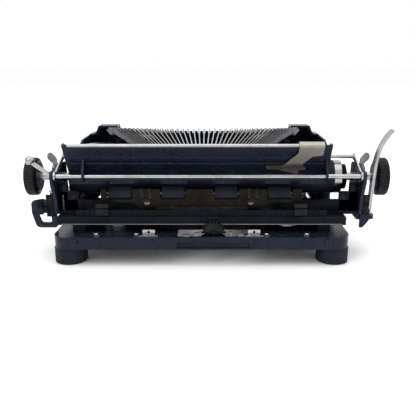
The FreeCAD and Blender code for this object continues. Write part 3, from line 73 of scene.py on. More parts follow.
# Keys, with the body and the letter of each lone one
KEY_LETTERS = {
    "key_tops_row_1": "23456789-=/",
    "key_tops_row_2": "QWERTYUIOP*",
    "key_tops_row_3": "ASDFG JKL;:",
    "key_tops_row_4": "ZXCVBNM,.?",
}
ROW_BODIES = {f"key_tops_row_{i}": f"key_row_{i}" for i in range(1, 5)}
LONE_KEYS = {
    "strike_key": ("strike_key", "H"),
    "backspace_key": ("backspace", "<"),
    "margin_release_key": ("margin_release", "+"),
    "shift_key_left": ("shift", "^"),
    "shift_key_right": ("shift", "^"),
}
KEY_DISC_SHARE = 0.80
KEY_DISC_DEPTH = 0.0015
KEY_TOP_HEIGHT = 0.0046
LETTER_SINK = 0.00072
LETTER_HALF_THICK = 0.00006

# Screw heads: the slot cutter's length and width are shares of the radius, its height of the head's height
HEAD_HEIGHT_SHARE = 0.55
HEAD_BEVEL_SHARE = 0.22
TOP_FACE_LIMIT = 0.9
SLOT_CUTTER = (2.4, 0.3, 0.8)
SCREW_TURN = 0.7
HANGER_SCREW_SHIFT = 0.0025
HANGER_SCREW_SPACING = 0.050
HANGER_SCREW_RISE = 0.009

# Carriage end screws, as places in front of and below the tie rod
END_SCREWS = ((0.0, 0.0), (0.046, 0.032), (0.022, 0.032))

# Carriage end links, as places behind the carriage frame's front edge and above its top
LINK_THICK = 0.0016
LINK_BEVEL = 0.0005
LINK_BARS = (((0.003, 0.004), (0.020, 0.0095)), ((0.003, 0.002), (0.0085, 0.030)))
LINK_STUDS = ((0.0058, 0.027), (0.0165, 0.0067))

# Bracket plates, as near and far reach outward from the tie rod's end, layer, bottom and top
BRACKET_REAR = 0.1247
PLATE_FACES = (0.0, 0.0018, 0.0034)
PLATE_BEVEL = 0.0006
BRACKET_PLATES = {
    "right": ((0.001, 0.009, 0, -0.006, 0.016), (0.0065, 0.0165, 1, -0.002, 0.004),
              (0.012, 0.0175, 0, -0.004, 0.010)),
    "left": ((0.001, 0.0075, 0, -0.004, 0.016), (0.0005, 0.006, 1, -0.0035, 0.006)),
}

# Bracket studs, as reach outward, layer and height
BRACKET_STUDS = {
    "right": ((0.005, 0, 0.011), (0.0145, 1, 0.001)),
    "left": ((0.0042, 0, 0.012), (0.0033, 1, 0.0015)),
}

# Clips over the roller hanger
CLIP_SHIFT = 0.002
CLIP_SPACING = 0.0515
CLIP_THICK = 0.0009
CLIP_BEVEL = 0.0003
CLIP_LEAF_OFFSET = 0.0038
CLIP_LEAF_HALF_WIDTH = 0.0016
CLIP_LEAF_DROP = 0.011
CLIP_LEAF_RISE = 0.0008
CLIP_HOOK_REACH = 0.004
CLIP_HOOK_BOTTOM = 0.0001
CLIP_HOOK_TOP = 0.0009
CLIP_WEB_HALF_WIDTH = 0.0054
CLIP_WEB_DROP = 0.013
CLIP_WEB_TOP_DROP = 0.0095

# Escapement dogs, as gap beside the wheel, width and height
DOGS_LEFT = ((0.016, 0.005, 0.0035), (0.006, 0.003, 0.0052))
DOGS_RIGHT = ((0.002, 0.0042, 0.0044), (0.010, 0.007, 0.0024))
DOG_INSET = 0.0035
DOG_THICK = 0.0022
DOG_SINK = 0.0003
DOG_BEVEL = 0.0004

# Near-black sheet hanging below the deck in the rear recess: painted shade that hides the floor seen through
# the notch
SHADE_SHEET_HALF_WIDTH = 0.0343
SHADE_SHEET_FRONT_INSET = 0.0016
SHADE_SHEET_REAR_INSET = 0.0011
SHADE_SHEET_DROP = 0.0104
SHADE_SHEET_TOP_DROP = 0.0051
SHADE_SHEET_BEVEL = 0.0001

# Tabs on the rear deck
TAB_SPACING = 0.050
TAB_INSET = 0.008
TAB_SINK = 0.0002
TAB_HALF_WIDTH = 0.006
TAB_THICK = 0.0014
TAB_HEIGHT = 0.0058
TAB_BEVEL = 0.0005
TAB_HOLE_RISE = 0.0033
TAB_HOLE_RADIUS = 0.0013
TAB_FOOT_HALF_WIDTH = 0.009
TAB_FOOT_FRONT = 0.001
TAB_FOOT_REAR = 0.005
TAB_FOOT_HEIGHT = 0.001
TAB_FOOT_BEVEL = 0.0003
DRILL_LENGTH = 0.01

# Edge of the carriage bed
EDGE_INSET = 0.004
EDGE_SINK = 0.0002
EDGE_PROUD = 0.0005
EDGE_BOTTOM = 0.0006
EDGE_TOP = 0.0016
EDGE_BEVEL = 0.0002

# Typebar fan and the type on its slugs
FAN_CENTRE = (0.0048, 0.068, 0.0487)
FAN_TILT = math.radians(8)
FAN_HALF_ANGLE = math.radians(78)
BARS_EACH_SIDE = 21
SLUG_TIP = (0.1016, 0.0, 0.0701)
SLUG_FACE_ANGLE = math.radians(48)
SLUG_DEPTH = 0.0045
TYPE_HALF_SIZE = (0.0011, 0.0010, 0.0004)
TYPE_OFFSET = 0.0019
TYPE_BEVEL = 0.0003

# Carriage end gussets, as reach inward from the carriage frame's end and height above its top
GUSSET_REAR = 0.1235
GUSSET_THICK = 0.0022
GUSSET_SINK = 0.0002
GUSSET_BEVEL = 0.0008
GUSSET_STEPS = {
    "left": ((0.0095, 0.028), (0.019, 0.019), (0.036, 0.011)),
    "right": ((0.0095, 0.028), (0.019, 0.019), (0.026, 0.011)),
}
GUSSET_BOLTS = ((0.005, 0.022), (0.0145, 0.013))

# Coil springs
SPRING_REAR_INSET = 0.007
SPRING_FRONT_INSET = 0.005
SPRING_LENGTH = 0.016
SPRING_RADIUS = 0.0024
SPRING_WIRE = 0.0004
SPRING_TURNS = 12
STEPS_PER_TURN = 14
WIRE_SIDES = 6
WELD_DISTANCE = 0.00001

# Studio, with each lamp's place, size and share of the lamp power
FLOOR_SIZE = 12.0
LAMPS = {
    "top_lamp": ((0.0, 0.0, 1.6), 2.0, 1.0),
    "rear_lamp": ((0.55, 0.85, 0.9), 0.7, 0.16),
    "side_lamp": ((-0.9, 0.5, 0.6), 0.6, 0.08),
}
SENSOR_WIDTH = 36
CAMERA_SHIFT = -0.0135

# Round pieces
ROUND_SIDES = 24
SMOOTH_ANGLE = math.radians(35)
COIL_SMOOTH_ANGLE = math.radians(50)


# Settings

class FinishSettings(bpy.types.PropertyGroup):
    """Colours and wear of the machine's finishes."""
    enamel: bpy.props.FloatVectorProperty(name="Enamel", description="Blue-black stove enamel of the body",
                                          subtype="COLOR", size=3, default=(0.0048, 0.0070, 0.0150))
    nickel: bpy.props.FloatVectorProperty(name="Nickel", description="Plated rods, levers and trim",
                                          subtype="COLOR", size=3, default=(0.42, 0.425, 0.43))
    steel: bpy.props.FloatVectorProperty(name="Steel",
                                         description="Bare steel of levers and outer typebars",
                                         subtype="COLOR", size=3, default=(0.18, 0.182, 0.19))
    warm_steel: bpy.props.FloatVectorProperty(name="Warm steel",
                                              description="Lacquered steel of the paper guide",
                                              subtype="COLOR", size=3, default=(0.31, 0.295, 0.265))
    bronze: bpy.props.FloatVectorProperty(name="Bronze", description="Dark bronze of the roller hanger",
                                          subtype="COLOR", size=3, default=(0.015, 0.013, 0.011))
    dark_steel: bpy.props.FloatVectorProperty(name="Dark steel",
                                              description="Oiled steel of stops and studs",
                                              subtype="COLOR", size=3, default=(0.020, 0.021, 0.023))
    rubber: bpy.props.FloatVectorProperty(name="Rubber", description="Feet, platen and rollers",
                                          subtype="COLOR", size=3, default=(0.005, 0.0065, 0.011))
    plastic: bpy.props.FloatVectorProperty(name="Plastic", description="Moulded knobs and space bar",
                                           subtype="COLOR", size=3, default=(0.006, 0.0065, 0.008))
    legend: bpy.props.FloatVectorProperty(name="Key letters", description="Cream letters on the key tops",
                                          subtype="COLOR", size=3, default=(0.75, 0.71, 0.60))
    dust: bpy.props.FloatProperty(name="Dust", description="How much dust greys the upper faces",
                                  min=0.0, max=1.0, default=0.07)
    letter_size: bpy.props.FloatProperty(name="Letter size", description="Height of the key letters",
                                         subtype="DISTANCE", unit="LENGTH", default=0.0062)
    screw_radius: bpy.props.FloatProperty(name="Screw radius", description="Radius of a slotted screw head",
                                          subtype="DISTANCE", unit="LENGTH", default=0.0031)


class StageSettings(bpy.types.PropertyGroup):
    """Floor, lamps and camera."""
    floor: bpy.props.FloatVectorProperty(name="Floor", description="Colour of the floor",
                                         subtype="COLOR", size=3, default=(0.96, 0.96, 0.96))
    lamp: bpy.props.FloatProperty(name="Lamp power", description="Power of the large lamp above",
                                  subtype="POWER", unit="POWER", default=16.0)
    room: bpy.props.FloatProperty(name="Room light", description="Strength of the white surroundings",
                                  min=0.0, max=2.0, default=1.0)
    camera_distance: bpy.props.FloatProperty(name="Camera distance", description="Camera to platen axis",
                                             subtype="DISTANCE", unit="LENGTH", default=0.560)
    camera_height: bpy.props.FloatProperty(name="Camera height", description="Camera above the table",
                                           subtype="DISTANCE", unit="LENGTH", default=0.196)
    camera_side: bpy.props.FloatProperty(name="Camera side",
                                         description="Camera to the left of the body's middle",
                                         subtype="DISTANCE", unit="LENGTH", default=0.0116)
    camera_pitch: bpy.props.FloatProperty(name="Camera pitch", description="How far the camera looks down",
                                          subtype="ANGLE", unit="ROTATION", default=math.radians(15.3))
    camera_lens: bpy.props.FloatProperty(name="Lens", description="Focal length on a 36 mm wide sensor",
                                         default=48.98)


def settings():
    return bpy.context.scene.typewriter_finish


# Shader helpers

def start_finish(name):
    """New material with its shader and Object coordinates."""
    material = bpy.data.materials.new(name)
    material.use_nodes = True
    tree = material.node_tree
    coordinates = tree.nodes.new("ShaderNodeTexCoord")
    return material, tree, tree.nodes["Principled BSDF"], coordinates.outputs["Object"]


def noise(tree, coordinates, scale, detail=4.0, roughness=0.55, stretch=(1, 1, 1)):
    mapping = tree.nodes.new("ShaderNodeMapping")
    mapping.inputs["Scale"].default_value = stretch
    texture = tree.nodes.new("ShaderNodeTexNoise")
    texture.inputs["Scale"].default_value = scale
    texture.inputs["Detail"].default_value = detail
    texture.inputs["Roughness"].default_value = roughness
    tree.links.new(coordinates, mapping.inputs["Vector"])
    tree.links.new(mapping.outputs["Vector"], texture.inputs["Vector"])
    return texture.outputs["Fac"]


def spread(tree, value, low, high, to_low=0.0, to_high=1.0):
    """Takes the range from low to high to a new range, held at its ends."""
    node = tree.nodes.new("ShaderNodeMapRange")
    node.inputs["From Min"].default_value = low
    node.inputs["From Max"].default_value = high
    node.inputs["To Min"].default_value = to_low
    node.inputs["To Max"].default_value = to_high
    tree.links.new(value, node.inputs["Value"])
    return node.outputs["Result"]


def times(tree, first, second):
    node = tree.nodes.new("ShaderNodeMath")
    node.operation = "MULTIPLY"
    tree.links.new(first, node.inputs[0])
    if isinstance(second, float):
        node.inputs[1].default_value = second
    else:
        tree.links.new(second, node.inputs[1])
    return node.outputs["Value"]


def mix_colours(tree, share, first, second):
    node = tree.nodes.new("ShaderNodeMix")
    node.data_type = "RGBA"
    tree.links.new(share, node.inputs["Factor"])
    for socket, colour in ((node.inputs["A"], first), (node.inputs["B"], second)):
        if isinstance(colour, bpy.types.NodeSocket):
            tree.links.new(colour, socket)
        else:
            socket.default_value = (*colour, 1)
    return node.outputs["Result"]


def upper_faces(tree):
    """One on faces that look up, none on the others."""
    geometry = tree.nodes.new("ShaderNodeNewGeometry")
    split = tree.nodes.new("ShaderNodeSeparateXYZ")
    tree.links.new(geometry.outputs["Normal"], split.inputs["Vector"])
    return spread(tree, split.outputs["Z"], 0.2, 0.95)


def dusted(tree, base, cloud, dust_colour):
    """Greys the upper faces where a cloud from none to one is dense."""
    veil = times(tree, times(tree, upper_faces(tree), cloud), settings().dust)
    return mix_colours(tree, veil, base, dust_colour)


def paint_with(tree, shader, share, first, second):
    """Base colour that goes from a first colour to a second one."""
    tree.links.new(mix_colours(tree, share, first, second), shader.inputs["Base Color"])


def roughen(tree, shader, value, low, high, smooth, dull):
    """Roughness from smooth to dull as a value goes from low to high."""
    tree.links.new(spread(tree, value, low, high, smooth, dull), shader.inputs["Roughness"])


def raise_bumps(tree, shader, height, strength, distance):
    node = tree.nodes.new("ShaderNodeBump")
    node.inputs["Strength"].default_value = strength
    node.inputs["Distance"].default_value = distance
    tree.links.new(height, node.inputs["Height"])
    tree.links.new(node.outputs["Normal"], shader.inputs["Normal"])


def lighter(colour, factor):
    return tuple(min(1.0, c * factor) for c in colour)


# Finishes

BLUE_SHINE = (0.72, 0.82, 1.0, 1.0)
EVEN_GRAIN = (1, 1, 1)
DRAWN_GRAIN = (0.05, 1, 1)
BROWN_STAIN = (0.10, 0.075, 0.05)

# Material name, roughness where polished and where dull, colour of stains, and stretch of the grain
METALS = {
    "nickel": ("worn_nickel", 0.16, 0.34, BROWN_STAIN, DRAWN_GRAIN),
    "steel": ("bare_steel", 0.26, 0.46, BROWN_STAIN, EVEN_GRAIN),
    "warm_steel": ("warm_steel", 0.3, 0.5, (0.16, 0.09, 0.05), EVEN_GRAIN),
    "bronze": ("dark_bronze", 0.32, 0.55, (0.05, 0.03, 0.02), EVEN_GRAIN),
    "dark_steel": ("oiled_steel", 0.3, 0.5, (0.03, 0.024, 0.018), EVEN_GRAIN),
}


def metal_finish(metal):
    """Plated or bare metal with a fine grain, dull clouds and small stains."""
    name, polished, dull, stain, stretch = METALS[metal]
    colour = tuple(getattr(settings(), metal))
    material, tree, shader, at = start_finish(name)
    clouds = spread(tree, noise(tree, at, scale=70, detail=5, roughness=0.6), 0.35, 0.72)
    base = mix_colours(tree, clouds, colour, lighter(colour, 0.72))
    stains = spread(tree, noise(tree, at, scale=260, detail=5, roughness=0.7), 0.60, 0.70)
    paint_with(tree, shader, times(tree, stains, 0.55), base, stain)
    roughen(tree, shader, clouds, 0.0, 1.0, polished, dull)
    shader.inputs["Metallic"].default_value = 1.0
    grain = noise(tree, at, scale=900, detail=2, roughness=0.5, stretch=stretch)
    raise_bumps(tree, shader, grain, strength=0.10, distance=0.0002)
    return material


def enamel_finish():
    """Glossy blue-black stove enamel with dust, fine scratches and dull patches."""
    material, tree, shader, at = start_finish("blue_black_enamel")
    colour = tuple(settings().enamel)
    patches = spread(tree, noise(tree, at, scale=26, detail=5), 0.35, 0.7)
    base = mix_colours(tree, patches, lighter(colour, 0.8), lighter(colour, 1.5))
    cloud = spread(tree, noise(tree, at, scale=55, detail=6, roughness=0.7), 0.3, 0.75)
    dusty = dusted(tree, base, cloud, (0.16, 0.16, 0.165))
    specks = spread(tree, noise(tree, at, scale=420, detail=3, roughness=0.7), 0.62, 0.72)
    paint_with(tree, shader, times(tree, specks, 0.35), dusty, (0.15, 0.14, 0.13))
    scratches = noise(tree, at, scale=240, detail=3, roughness=0.6, stretch=(0.25, 1.0, 1.3))
    roughen(tree, shader, scratches, 0.3, 0.75, 0.20, 0.33)
    shader.inputs["Specular IOR Level"].default_value = 0.21
    shader.inputs["Specular Tint"].default_value = BLUE_SHINE
    raise_bumps(tree, shader, noise(tree, at, scale=140), strength=0.12, distance=0.0004)
    return material


def black_paint_finish():
    """Satin black paint on the carriage bed, greasy and dusty."""
    material, tree, shader, at = start_finish("satin_black_paint")
    grime = spread(tree, noise(tree, at, scale=60, detail=6, roughness=0.65), 0.35, 0.75)
    base = mix_colours(tree, grime, (0.003, 0.0036, 0.006), (0.009, 0.010, 0.014))
    cloud = spread(tree, noise(tree, at, scale=90, detail=5), 0.35, 0.7)
    dusty = dusted(tree, base, cloud, (0.15, 0.145, 0.14))
    tree.links.new(dusty, shader.inputs["Base Color"])
    roughen(tree, shader, noise(tree, at, scale=120), 0.3, 0.7, 0.32, 0.58)
    shader.inputs["Specular IOR Level"].default_value = 0.08
    shader.inputs["Specular Tint"].default_value = BLUE_SHINE
    raise_bumps(tree, shader, noise(tree, at, scale=500, detail=3), strength=0.15, distance=0.0003)
    return material


def rubber_finish():
    """Hard aged rubber, greyed and slightly shiny where it is worn."""
    material, tree, shader, at = start_finish("aged_rubber")
    colour = tuple(settings().rubber)
    cloud = spread(tree, noise(tree, at, scale=45, detail=6, roughness=0.65), 0.3, 0.75)
    paint_with(tree, shader, cloud, colour, lighter(colour, 2.4))
    roughen(tree, shader, noise(tree, at, scale=150), 0.3, 0.7, 0.42, 0.72)
    shader.inputs["Specular IOR Level"].default_value = 0.14
    raise_bumps(tree, shader, noise(tree, at, scale=700, roughness=0.65), strength=0.25, distance=0.0003)
    return material


def moulded_finish():
    """Black moulded plastic with a soft polish and dust in its ribs."""
    material, tree, shader, at = start_finish("moulded_black")
    dust = times(tree, spread(tree, noise(tree, at, scale=130, detail=5, roughness=0.7), 0.5, 0.8), 0.5)
    paint_with(tree, shader, dust, tuple(settings().plastic), (0.024, 0.025, 0.028))
    roughen(tree, shader, noise(tree, at, scale=60), 0.3, 0.7, 0.2, 0.42)
    shader.inputs["Specular IOR Level"].default_value = 0.14
    raise_bumps(tree, shader, noise(tree, at, scale=350, detail=3), strength=0.08, distance=0.0003)
    return material


def key_disc_finish():
    """Black key disc under a clear lacquer."""
    material, tree, shader, at = start_finish("key_disc")
    cloud = spread(tree, noise(tree, at, scale=120), 0.35, 0.7)
    paint_with(tree, shader, cloud, (0.008, 0.008, 0.009), (0.02, 0.019, 0.018))
    roughen(tree, shader, noise(tree, at, scale=260), 0.3, 0.7, 0.08, 0.2)
    shader.inputs["Coat Weight"].default_value = 0.8
    raise_bumps(tree, shader, noise(tree, at, scale=160, detail=2), strength=0.05, distance=0.0002)
    return material


def letters_finish():
    """Aged cream ink of the key letters."""
    material, tree, shader, at = start_finish("cream_letters")
    colour = tuple(settings().legend)
    cloud = spread(tree, noise(tree, at, scale=900, detail=3), 0.3, 0.7)
    paint_with(tree, shader, cloud, colour, lighter(colour, 0.8))
    roughen(tree, shader, noise(tree, at, scale=300, detail=2), 0.3, 0.7, 0.4, 0.6)
    raise_bumps(tree, shader, noise(tree, at, scale=1200, detail=2), strength=0.1, distance=0.0001)
    return material


def ribbon_finish():
    """Inked cloth ribbon wound on a spool."""
    material, tree, shader, at = start_finish("inked_ribbon")
    weave = noise(tree, at, scale=1600, detail=2, roughness=0.5, stretch=(1, 1, 0.2))
    paint_with(tree, shader, weave, (0.006, 0.006, 0.009), (0.03, 0.03, 0.036))
    roughen(tree, shader, weave, 0.3, 0.7, 0.6, 0.85)
    raise_bumps(tree, shader, weave, strength=0.4, distance=0.0003)
    return material


OTHER_FINISHES = {
    "enamel": enamel_finish,
    "paint": black_paint_finish,
    "rubber": rubber_finish,
    "moulded": moulded_finish,
    "key_disc": key_disc_finish,
    "letters": letters_finish,
    "ribbon": ribbon_finish,
}
MADE_FINISHES = {}


def finish(name):
    """Each finish is made once, when a piece first asks for it."""
    if name not in MADE_FINISHES:
        if name in METALS:
            MADE_FINISHES[name] = metal_finish(name)
        else:
            MADE_FINISHES[name] = OTHER_FINISHES[name]()
    return MADE_FINISHES[name]


def dress(names, finish_name):
    """Gives CAD pieces one finish."""
    for name in names:
        slots = NODES[name].data.materials
        slots.clear()
        slots.append(finish(finish_name))


def dress_faces(name, finish_names, choose):
    """Gives a CAD piece several finishes, chosen for each face by its middle."""
    mesh = NODES[name].data
    mesh.materials.clear()
    for finish_name in finish_names:
        mesh.materials.append(finish(finish_name))
    for face in mesh.polygons:
        face.material_index = int(choose(face.center))


# Modelling helpers

def deselect():
    if bpy.context.object and bpy.context.object.mode != "OBJECT":
        bpy.ops.object.mode_set(mode="OBJECT")
    bpy.ops.object.select_all(action="DESELECT")


def activate(piece):
    deselect()
    piece.select_set(True)
    bpy.context.view_layer.objects.active = piece


def apply_place():
    bpy.ops.object.transform_apply(location=True, rotation=True, scale=True)


def settle(piece, name, body, finish_name):
    """Puts a piece's place into its mesh and gives it a finish and a body to ride on."""
    activate(piece)
    apply_place()
    piece.name = name
    piece.data.materials.clear()
    piece.data.materials.append(finish(finish_name))
    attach(piece, body)


def join_pieces(pieces):
    deselect()
    for piece in pieces:
        piece.select_set(True)
    bpy.context.view_layer.objects.active = pieces[0]
    bpy.ops.object.join()
    return pieces[0]


def own_copy(piece, placement):
    """A copy of a piece, with a mesh of its own, at a placement."""
    copy = piece.copy()
    copy.data = piece.data.copy()
    bpy.context.collection.objects.link(copy)
    copy.matrix_world = placement
    return copy


def cut_away(piece, cutter):
    """Cuts the shape of a cutter out of a piece and removes the cutter."""
    cut = piece.modifiers.new("cut", "BOOLEAN")
    cut.object = cutter
    cut.operation = "DIFFERENCE"
    cut.solver = "EXACT"
    activate(piece)
    bpy.ops.object.modifier_apply(modifier="cut")
    bpy.data.objects.remove(cutter)


def letter(text, place):
    """A flat key letter as a thin mesh, read from the front."""
    deselect()
    bpy.ops.object.text_add(location=place)
    words = bpy.context.object
    words.data.body = text
    words.data.size = settings().letter_size
    words.data.align_x = "CENTER"
    words.data.align_y = "CENTER"
    words.data.extrude = LETTER_HALF_THICK
    words.data.resolution_u = 2
    bpy.ops.object.convert(target="MESH")
    return bpy.context.object


def slotted_head(radius):
    """A domed screw head with a slot, standing on the origin along Z."""
    deselect()
    height = radius * HEAD_HEIGHT_SHARE
    bpy.ops.mesh.primitive_cylinder_add(vertices=ROUND_SIDES, radius=radius, depth=height,
                                        location=(0, 0, height / 2))
    head = bpy.context.object
    bpy.ops.object.mode_set(mode="EDIT")
    bpy.ops.mesh.select_all(action="DESELECT")
    bpy.ops.object.mode_set(mode="OBJECT")
    for face in head.data.polygons:
        face.select = face.normal.z > TOP_FACE_LIMIT
    bpy.ops.object.mode_set(mode="EDIT")
    bpy.ops.mesh.bevel(offset=radius * HEAD_BEVEL_SHARE, segments=3)
    deselect()
    bpy.ops.mesh.primitive_cube_add(size=1, location=(0, 0, height))
    cutter = bpy.context.object
    cutter.scale = (radius * SLOT_CUTTER[0], radius * SLOT_CUTTER[1], height * SLOT_CUTTER[2])
    cut_away(head, cutter)
    bpy.ops.object.shade_smooth_by_angle(angle=SMOOTH_ANGLE)
    return head


def block(low, high, bevel):
    """A plate or bar between two corners with all its edges rounded."""
    deselect()
    low = Vector(low)
    high = Vector(high)
    bpy.ops.mesh.primitive_cube_add(size=1, location=(low + high) / 2, scale=high - low)
    apply_place()
    bpy.ops.object.mode_set(mode="EDIT")
    bpy.ops.mesh.select_all(action="SELECT")
    bpy.ops.mesh.bevel(offset=bevel, segments=2, affect="EDGES")
    bpy.ops.object.mode_set(mode="OBJECT")
    bpy.ops.object.shade_smooth_by_angle(angle=SMOOTH_ANGLE)
    return bpy.context.object


def drill(piece, place, radius):
    """Drills a round hole through a piece along Y."""
    deselect()
    turn = Vector((0, 0, 1)).rotation_difference(Vector((0, 1, 0))).to_euler()
    bpy.ops.mesh.primitive_cylinder_add(vertices=ROUND_SIDES, radius=radius, depth=DRILL_LENGTH,
                                        location=place, rotation=turn)
    cut_away(piece, bpy.context.object)


def coil(foot, length, radius, wire, turns):
    """A close coil of wire standing on a place along Z."""
    deselect()
    bpy.ops.mesh.primitive_circle_add(vertices=WIRE_SIDES, radius=wire, fill_type="NOTHING",
                                      location=(radius, 0, 0), rotation=(math.pi / 2, 0, 0))
    spring = bpy.context.object
    apply_place()
    wind = spring.modifiers.new("wind", "SCREW")
    wind.screw_offset = length / turns
    wind.iterations = turns
    wind.steps = STEPS_PER_TURN
    wind.render_steps = STEPS_PER_TURN
    wind.axis = "Z"
    bpy.ops.object.modifier_apply(modifier="wind")
    bpy.ops.object.mode_set(mode="EDIT")
    bpy.ops.mesh.select_all(action="SELECT")
    bpy.ops.mesh.remove_doubles(threshold=WELD_DISTANCE)
    bpy.ops.mesh.select_all(action="DESELECT")
    bpy.ops.mesh.select_non_manifold()
    bpy.ops.mesh.fill_holes(sides=WIRE_SIDES)
    bpy.ops.mesh.select_all(action="SELECT")
    bpy.ops.mesh.normals_make_consistent(inside=False)
    bpy.ops.object.mode_set(mode="OBJECT")
    bpy.ops.object.shade_smooth_by_angle(angle=COIL_SMOOTH_ANGLE)
    spring.location = foot
    return spring


def screws(name, body, places, axis, finish_name="nickel"):
    """Copies of one slotted head at places on a face that looks along an axis."""
    head = slotted_head(settings().screw_radius)
    upright = Vector((0, 0, 1)).rotation_difference(Vector(axis)).to_matrix().to_4x4()
    copies = []
    for i, place in enumerate(places):
        turn = Matrix.Rotation(i * SCREW_TURN, 4, "Z")
        copies.append(own_copy(head, Matrix.Translation(place) @ upright @ turn))
    bpy.data.objects.remove(head)
    settle(join_pieces(copies), name, body, finish_name)


def key_middles(node, count):
    """Middle of each round key top in a row node, left to right, on its upper face."""
    low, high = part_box(node)
    radius = (high.y - low.y) / 2
    step = (high.x - low.x - 2 * radius) / (count - 1)
    return [Vector((low.x + radius + i * step, low.y + radius, high.z)) for i in range(count)]


def key_disc_test(middles, radius):
    """True for faces of the black disc inside the bright ring of a key top."""
    def inside(place):
        near = min(middles, key=lambda m: (m.x - place.x) ** 2 + (m.y - place.y) ** 2)
        away = math.hypot(near.x - place.x, near.y - place.y)
        return away < radius * KEY_DISC_SHARE and place.z > near.z - KEY_DISC_DEPTH
    return inside


# Operators, one for each group of pieces

class TYPEWRITER_OT_body(bpy.types.Operator):
    """Enamel the base, shell, deck, carriage ends and paper table and paint the carriage bed"""
    bl_idname = "typewriter.body"
    bl_label = "Enamelled body"

    def execute(self, context):
        dress(["base_frame", "body_shell", "ribbon_deck", "carriage_end_left", "carriage_end_right",
               "paper_table"], "enamel")
        dress(["rail_posts", "carriage_truck", "carriage_frame", "margin_rail", "typebar_rest",
               "escapement_bracket"], "paint")
        return {"FINISHED"}


class TYPEWRITER_OT_metal(bpy.types.Operator):
    """Plate the bright rods, levers and trim and bare the steel works"""
    bl_idname = "typewriter.metal"
    bl_label = "Bright metal"

    def execute(self, context):
        dress(["tie_rod", "platen_shaft", "table_strip", "paper_bail", "return_lever", "type_guide",
               "ribbon_carrier", "paper_release", "mainspring_drum", "bell", "strike_typebar"], "nickel")
        dress(["carriage_release_left", "carriage_release_right", "fulcrum_shaft", "lever_comb", "shift_bar",
               "segment", "carriage_rails", "escapement_rack"], "steel")
        dress([f"key_levers_row_{i}" for i in range(1, 5)], "steel")
        dress(["escapement_wheel", "margin_stop_right", "margin_stop_left"], "dark_steel")
        dress(["feed_hanger"], "bronze")
        dress(["paper_guide"], "warm_steel")
        teeth_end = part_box("line_ratchet")[0].x + RATCHET_TEETH_WIDTH
        dress_faces("line_ratchet", ["nickel", "dark_steel"], lambda p: p.x < teeth_end)
        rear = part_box("base_frame")[1].y
        dress_faces("frame_screws", ["nickel", "enamel"], lambda p: p.y > rear)
        dress_faces("typebars", ["nickel", "steel"], self.on_outer_bar)
        return {"FINISHED"}

    def on_outer_bar(self, place):
        """True on the typebars at both ends of the fan, which are duller."""
        return abs(place.x - FAN_CENTRE[0]) > FAN_CENTRE[1] - place.y + BRIGHT_BARS_MARGIN


class TYPEWRITER_OT_rubber(bpy.types.Operator):
    """Finish the feet, platen, feed rollers, knobs and space bar"""
    bl_idname = "typewriter.rubber"
    bl_label = "Rubber and moulded pieces"

    def execute(self, context):
        dress(["rubber_feet", "platen_roller", "bail_rollers"], "rubber")
        dress(["platen_knobs"], "moulded")
        low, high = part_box("feed_rollers")
        axis = (low + high) / 2
        shaft = (high.z - low.z) / 2 * ROLLER_SHAFT_SHARE
        dress_faces("feed_rollers", ["steel", "rubber"],
                    lambda p: math.hypot(p.y - axis.y, p.z - axis.z) > shaft)
        cap_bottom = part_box("space_bar")[1].z - SPACE_BAR_CAP_HEIGHT
        dress_faces("space_bar", ["moulded", "steel"], lambda p: p.z < cap_bottom)
        return {"FINISHED"}


class TYPEWRITER_OT_spools(bpy.types.Operator):
    """Plate the ribbon spools and ink the ribbon wound on them"""
    bl_idname = "typewriter.spools"
    bl_label = "Ribbon spools"

    def execute(self, context):
        for name in ("ribbon_spool_left", "ribbon_spool_right"):
            dress_faces(name, ["nickel", "ribbon"], self.ribbon_test(*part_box(name)))
        return {"FINISHED"}

    def ribbon_test(self, low, high):
        """True for faces between the flanges and away from the core."""
        middle = (low + high) / 2
        core = (high.x - low.x) / 2 * SPOOL_CORE_SHARE

        def on_ribbon(place):
            away = math.hypot(place.x - middle.x, place.y - middle.y)
            return low.z + SPOOL_FLANGE < place.z < high.z - SPOOL_FLANGE and away > core
        return on_ribbon


class TYPEWRITER_OT_keys(bpy.types.Operator):
    """Finish the key tops with bright rings, black discs and letters"""
    bl_idname = "typewriter.keys"
    bl_label = "Keys"

    def execute(self, context):
        for node, letters in KEY_LETTERS.items():
            self.key_row(node, letters)
        for node, (body, text) in LONE_KEYS.items():
            self.lone_key(node, body, text)
        return {"FINISHED"}

    def key_row(self, node, letters):
        low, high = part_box(node)
        middles = key_middles(node, len(letters))
        dress_faces(node, ["nickel", "key_disc"], key_disc_test(middles, (high.y - low.y) / 2))
        marks = []
        for text, middle in zip(letters, middles):
            if text != " ":
                marks.append(self.mark(text, middle))
        settle(join_pieces(marks), f"{node}_letters", ROW_BODIES[node], "letters")

    def lone_key(self, node, body, text):
        low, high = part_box(node)
        radius = (high.x - low.x) / 2
        middle = Vector(((low.x + high.x) / 2, low.y + radius, high.z))
        on_disc = key_disc_test([middle], radius)

        def layer(place):
            if on_disc(place):
                return 2
            if place.z > high.z - KEY_TOP_HEIGHT:
                return 1
            return 0
        dress_faces(node, ["steel", "nickel", "key_disc"], layer)
        settle(self.mark(text, middle), f"{node}_letter", body, "letters")

    def mark(self, text, middle):
        return letter(text, middle - Vector((0, 0, LETTER_SINK)))


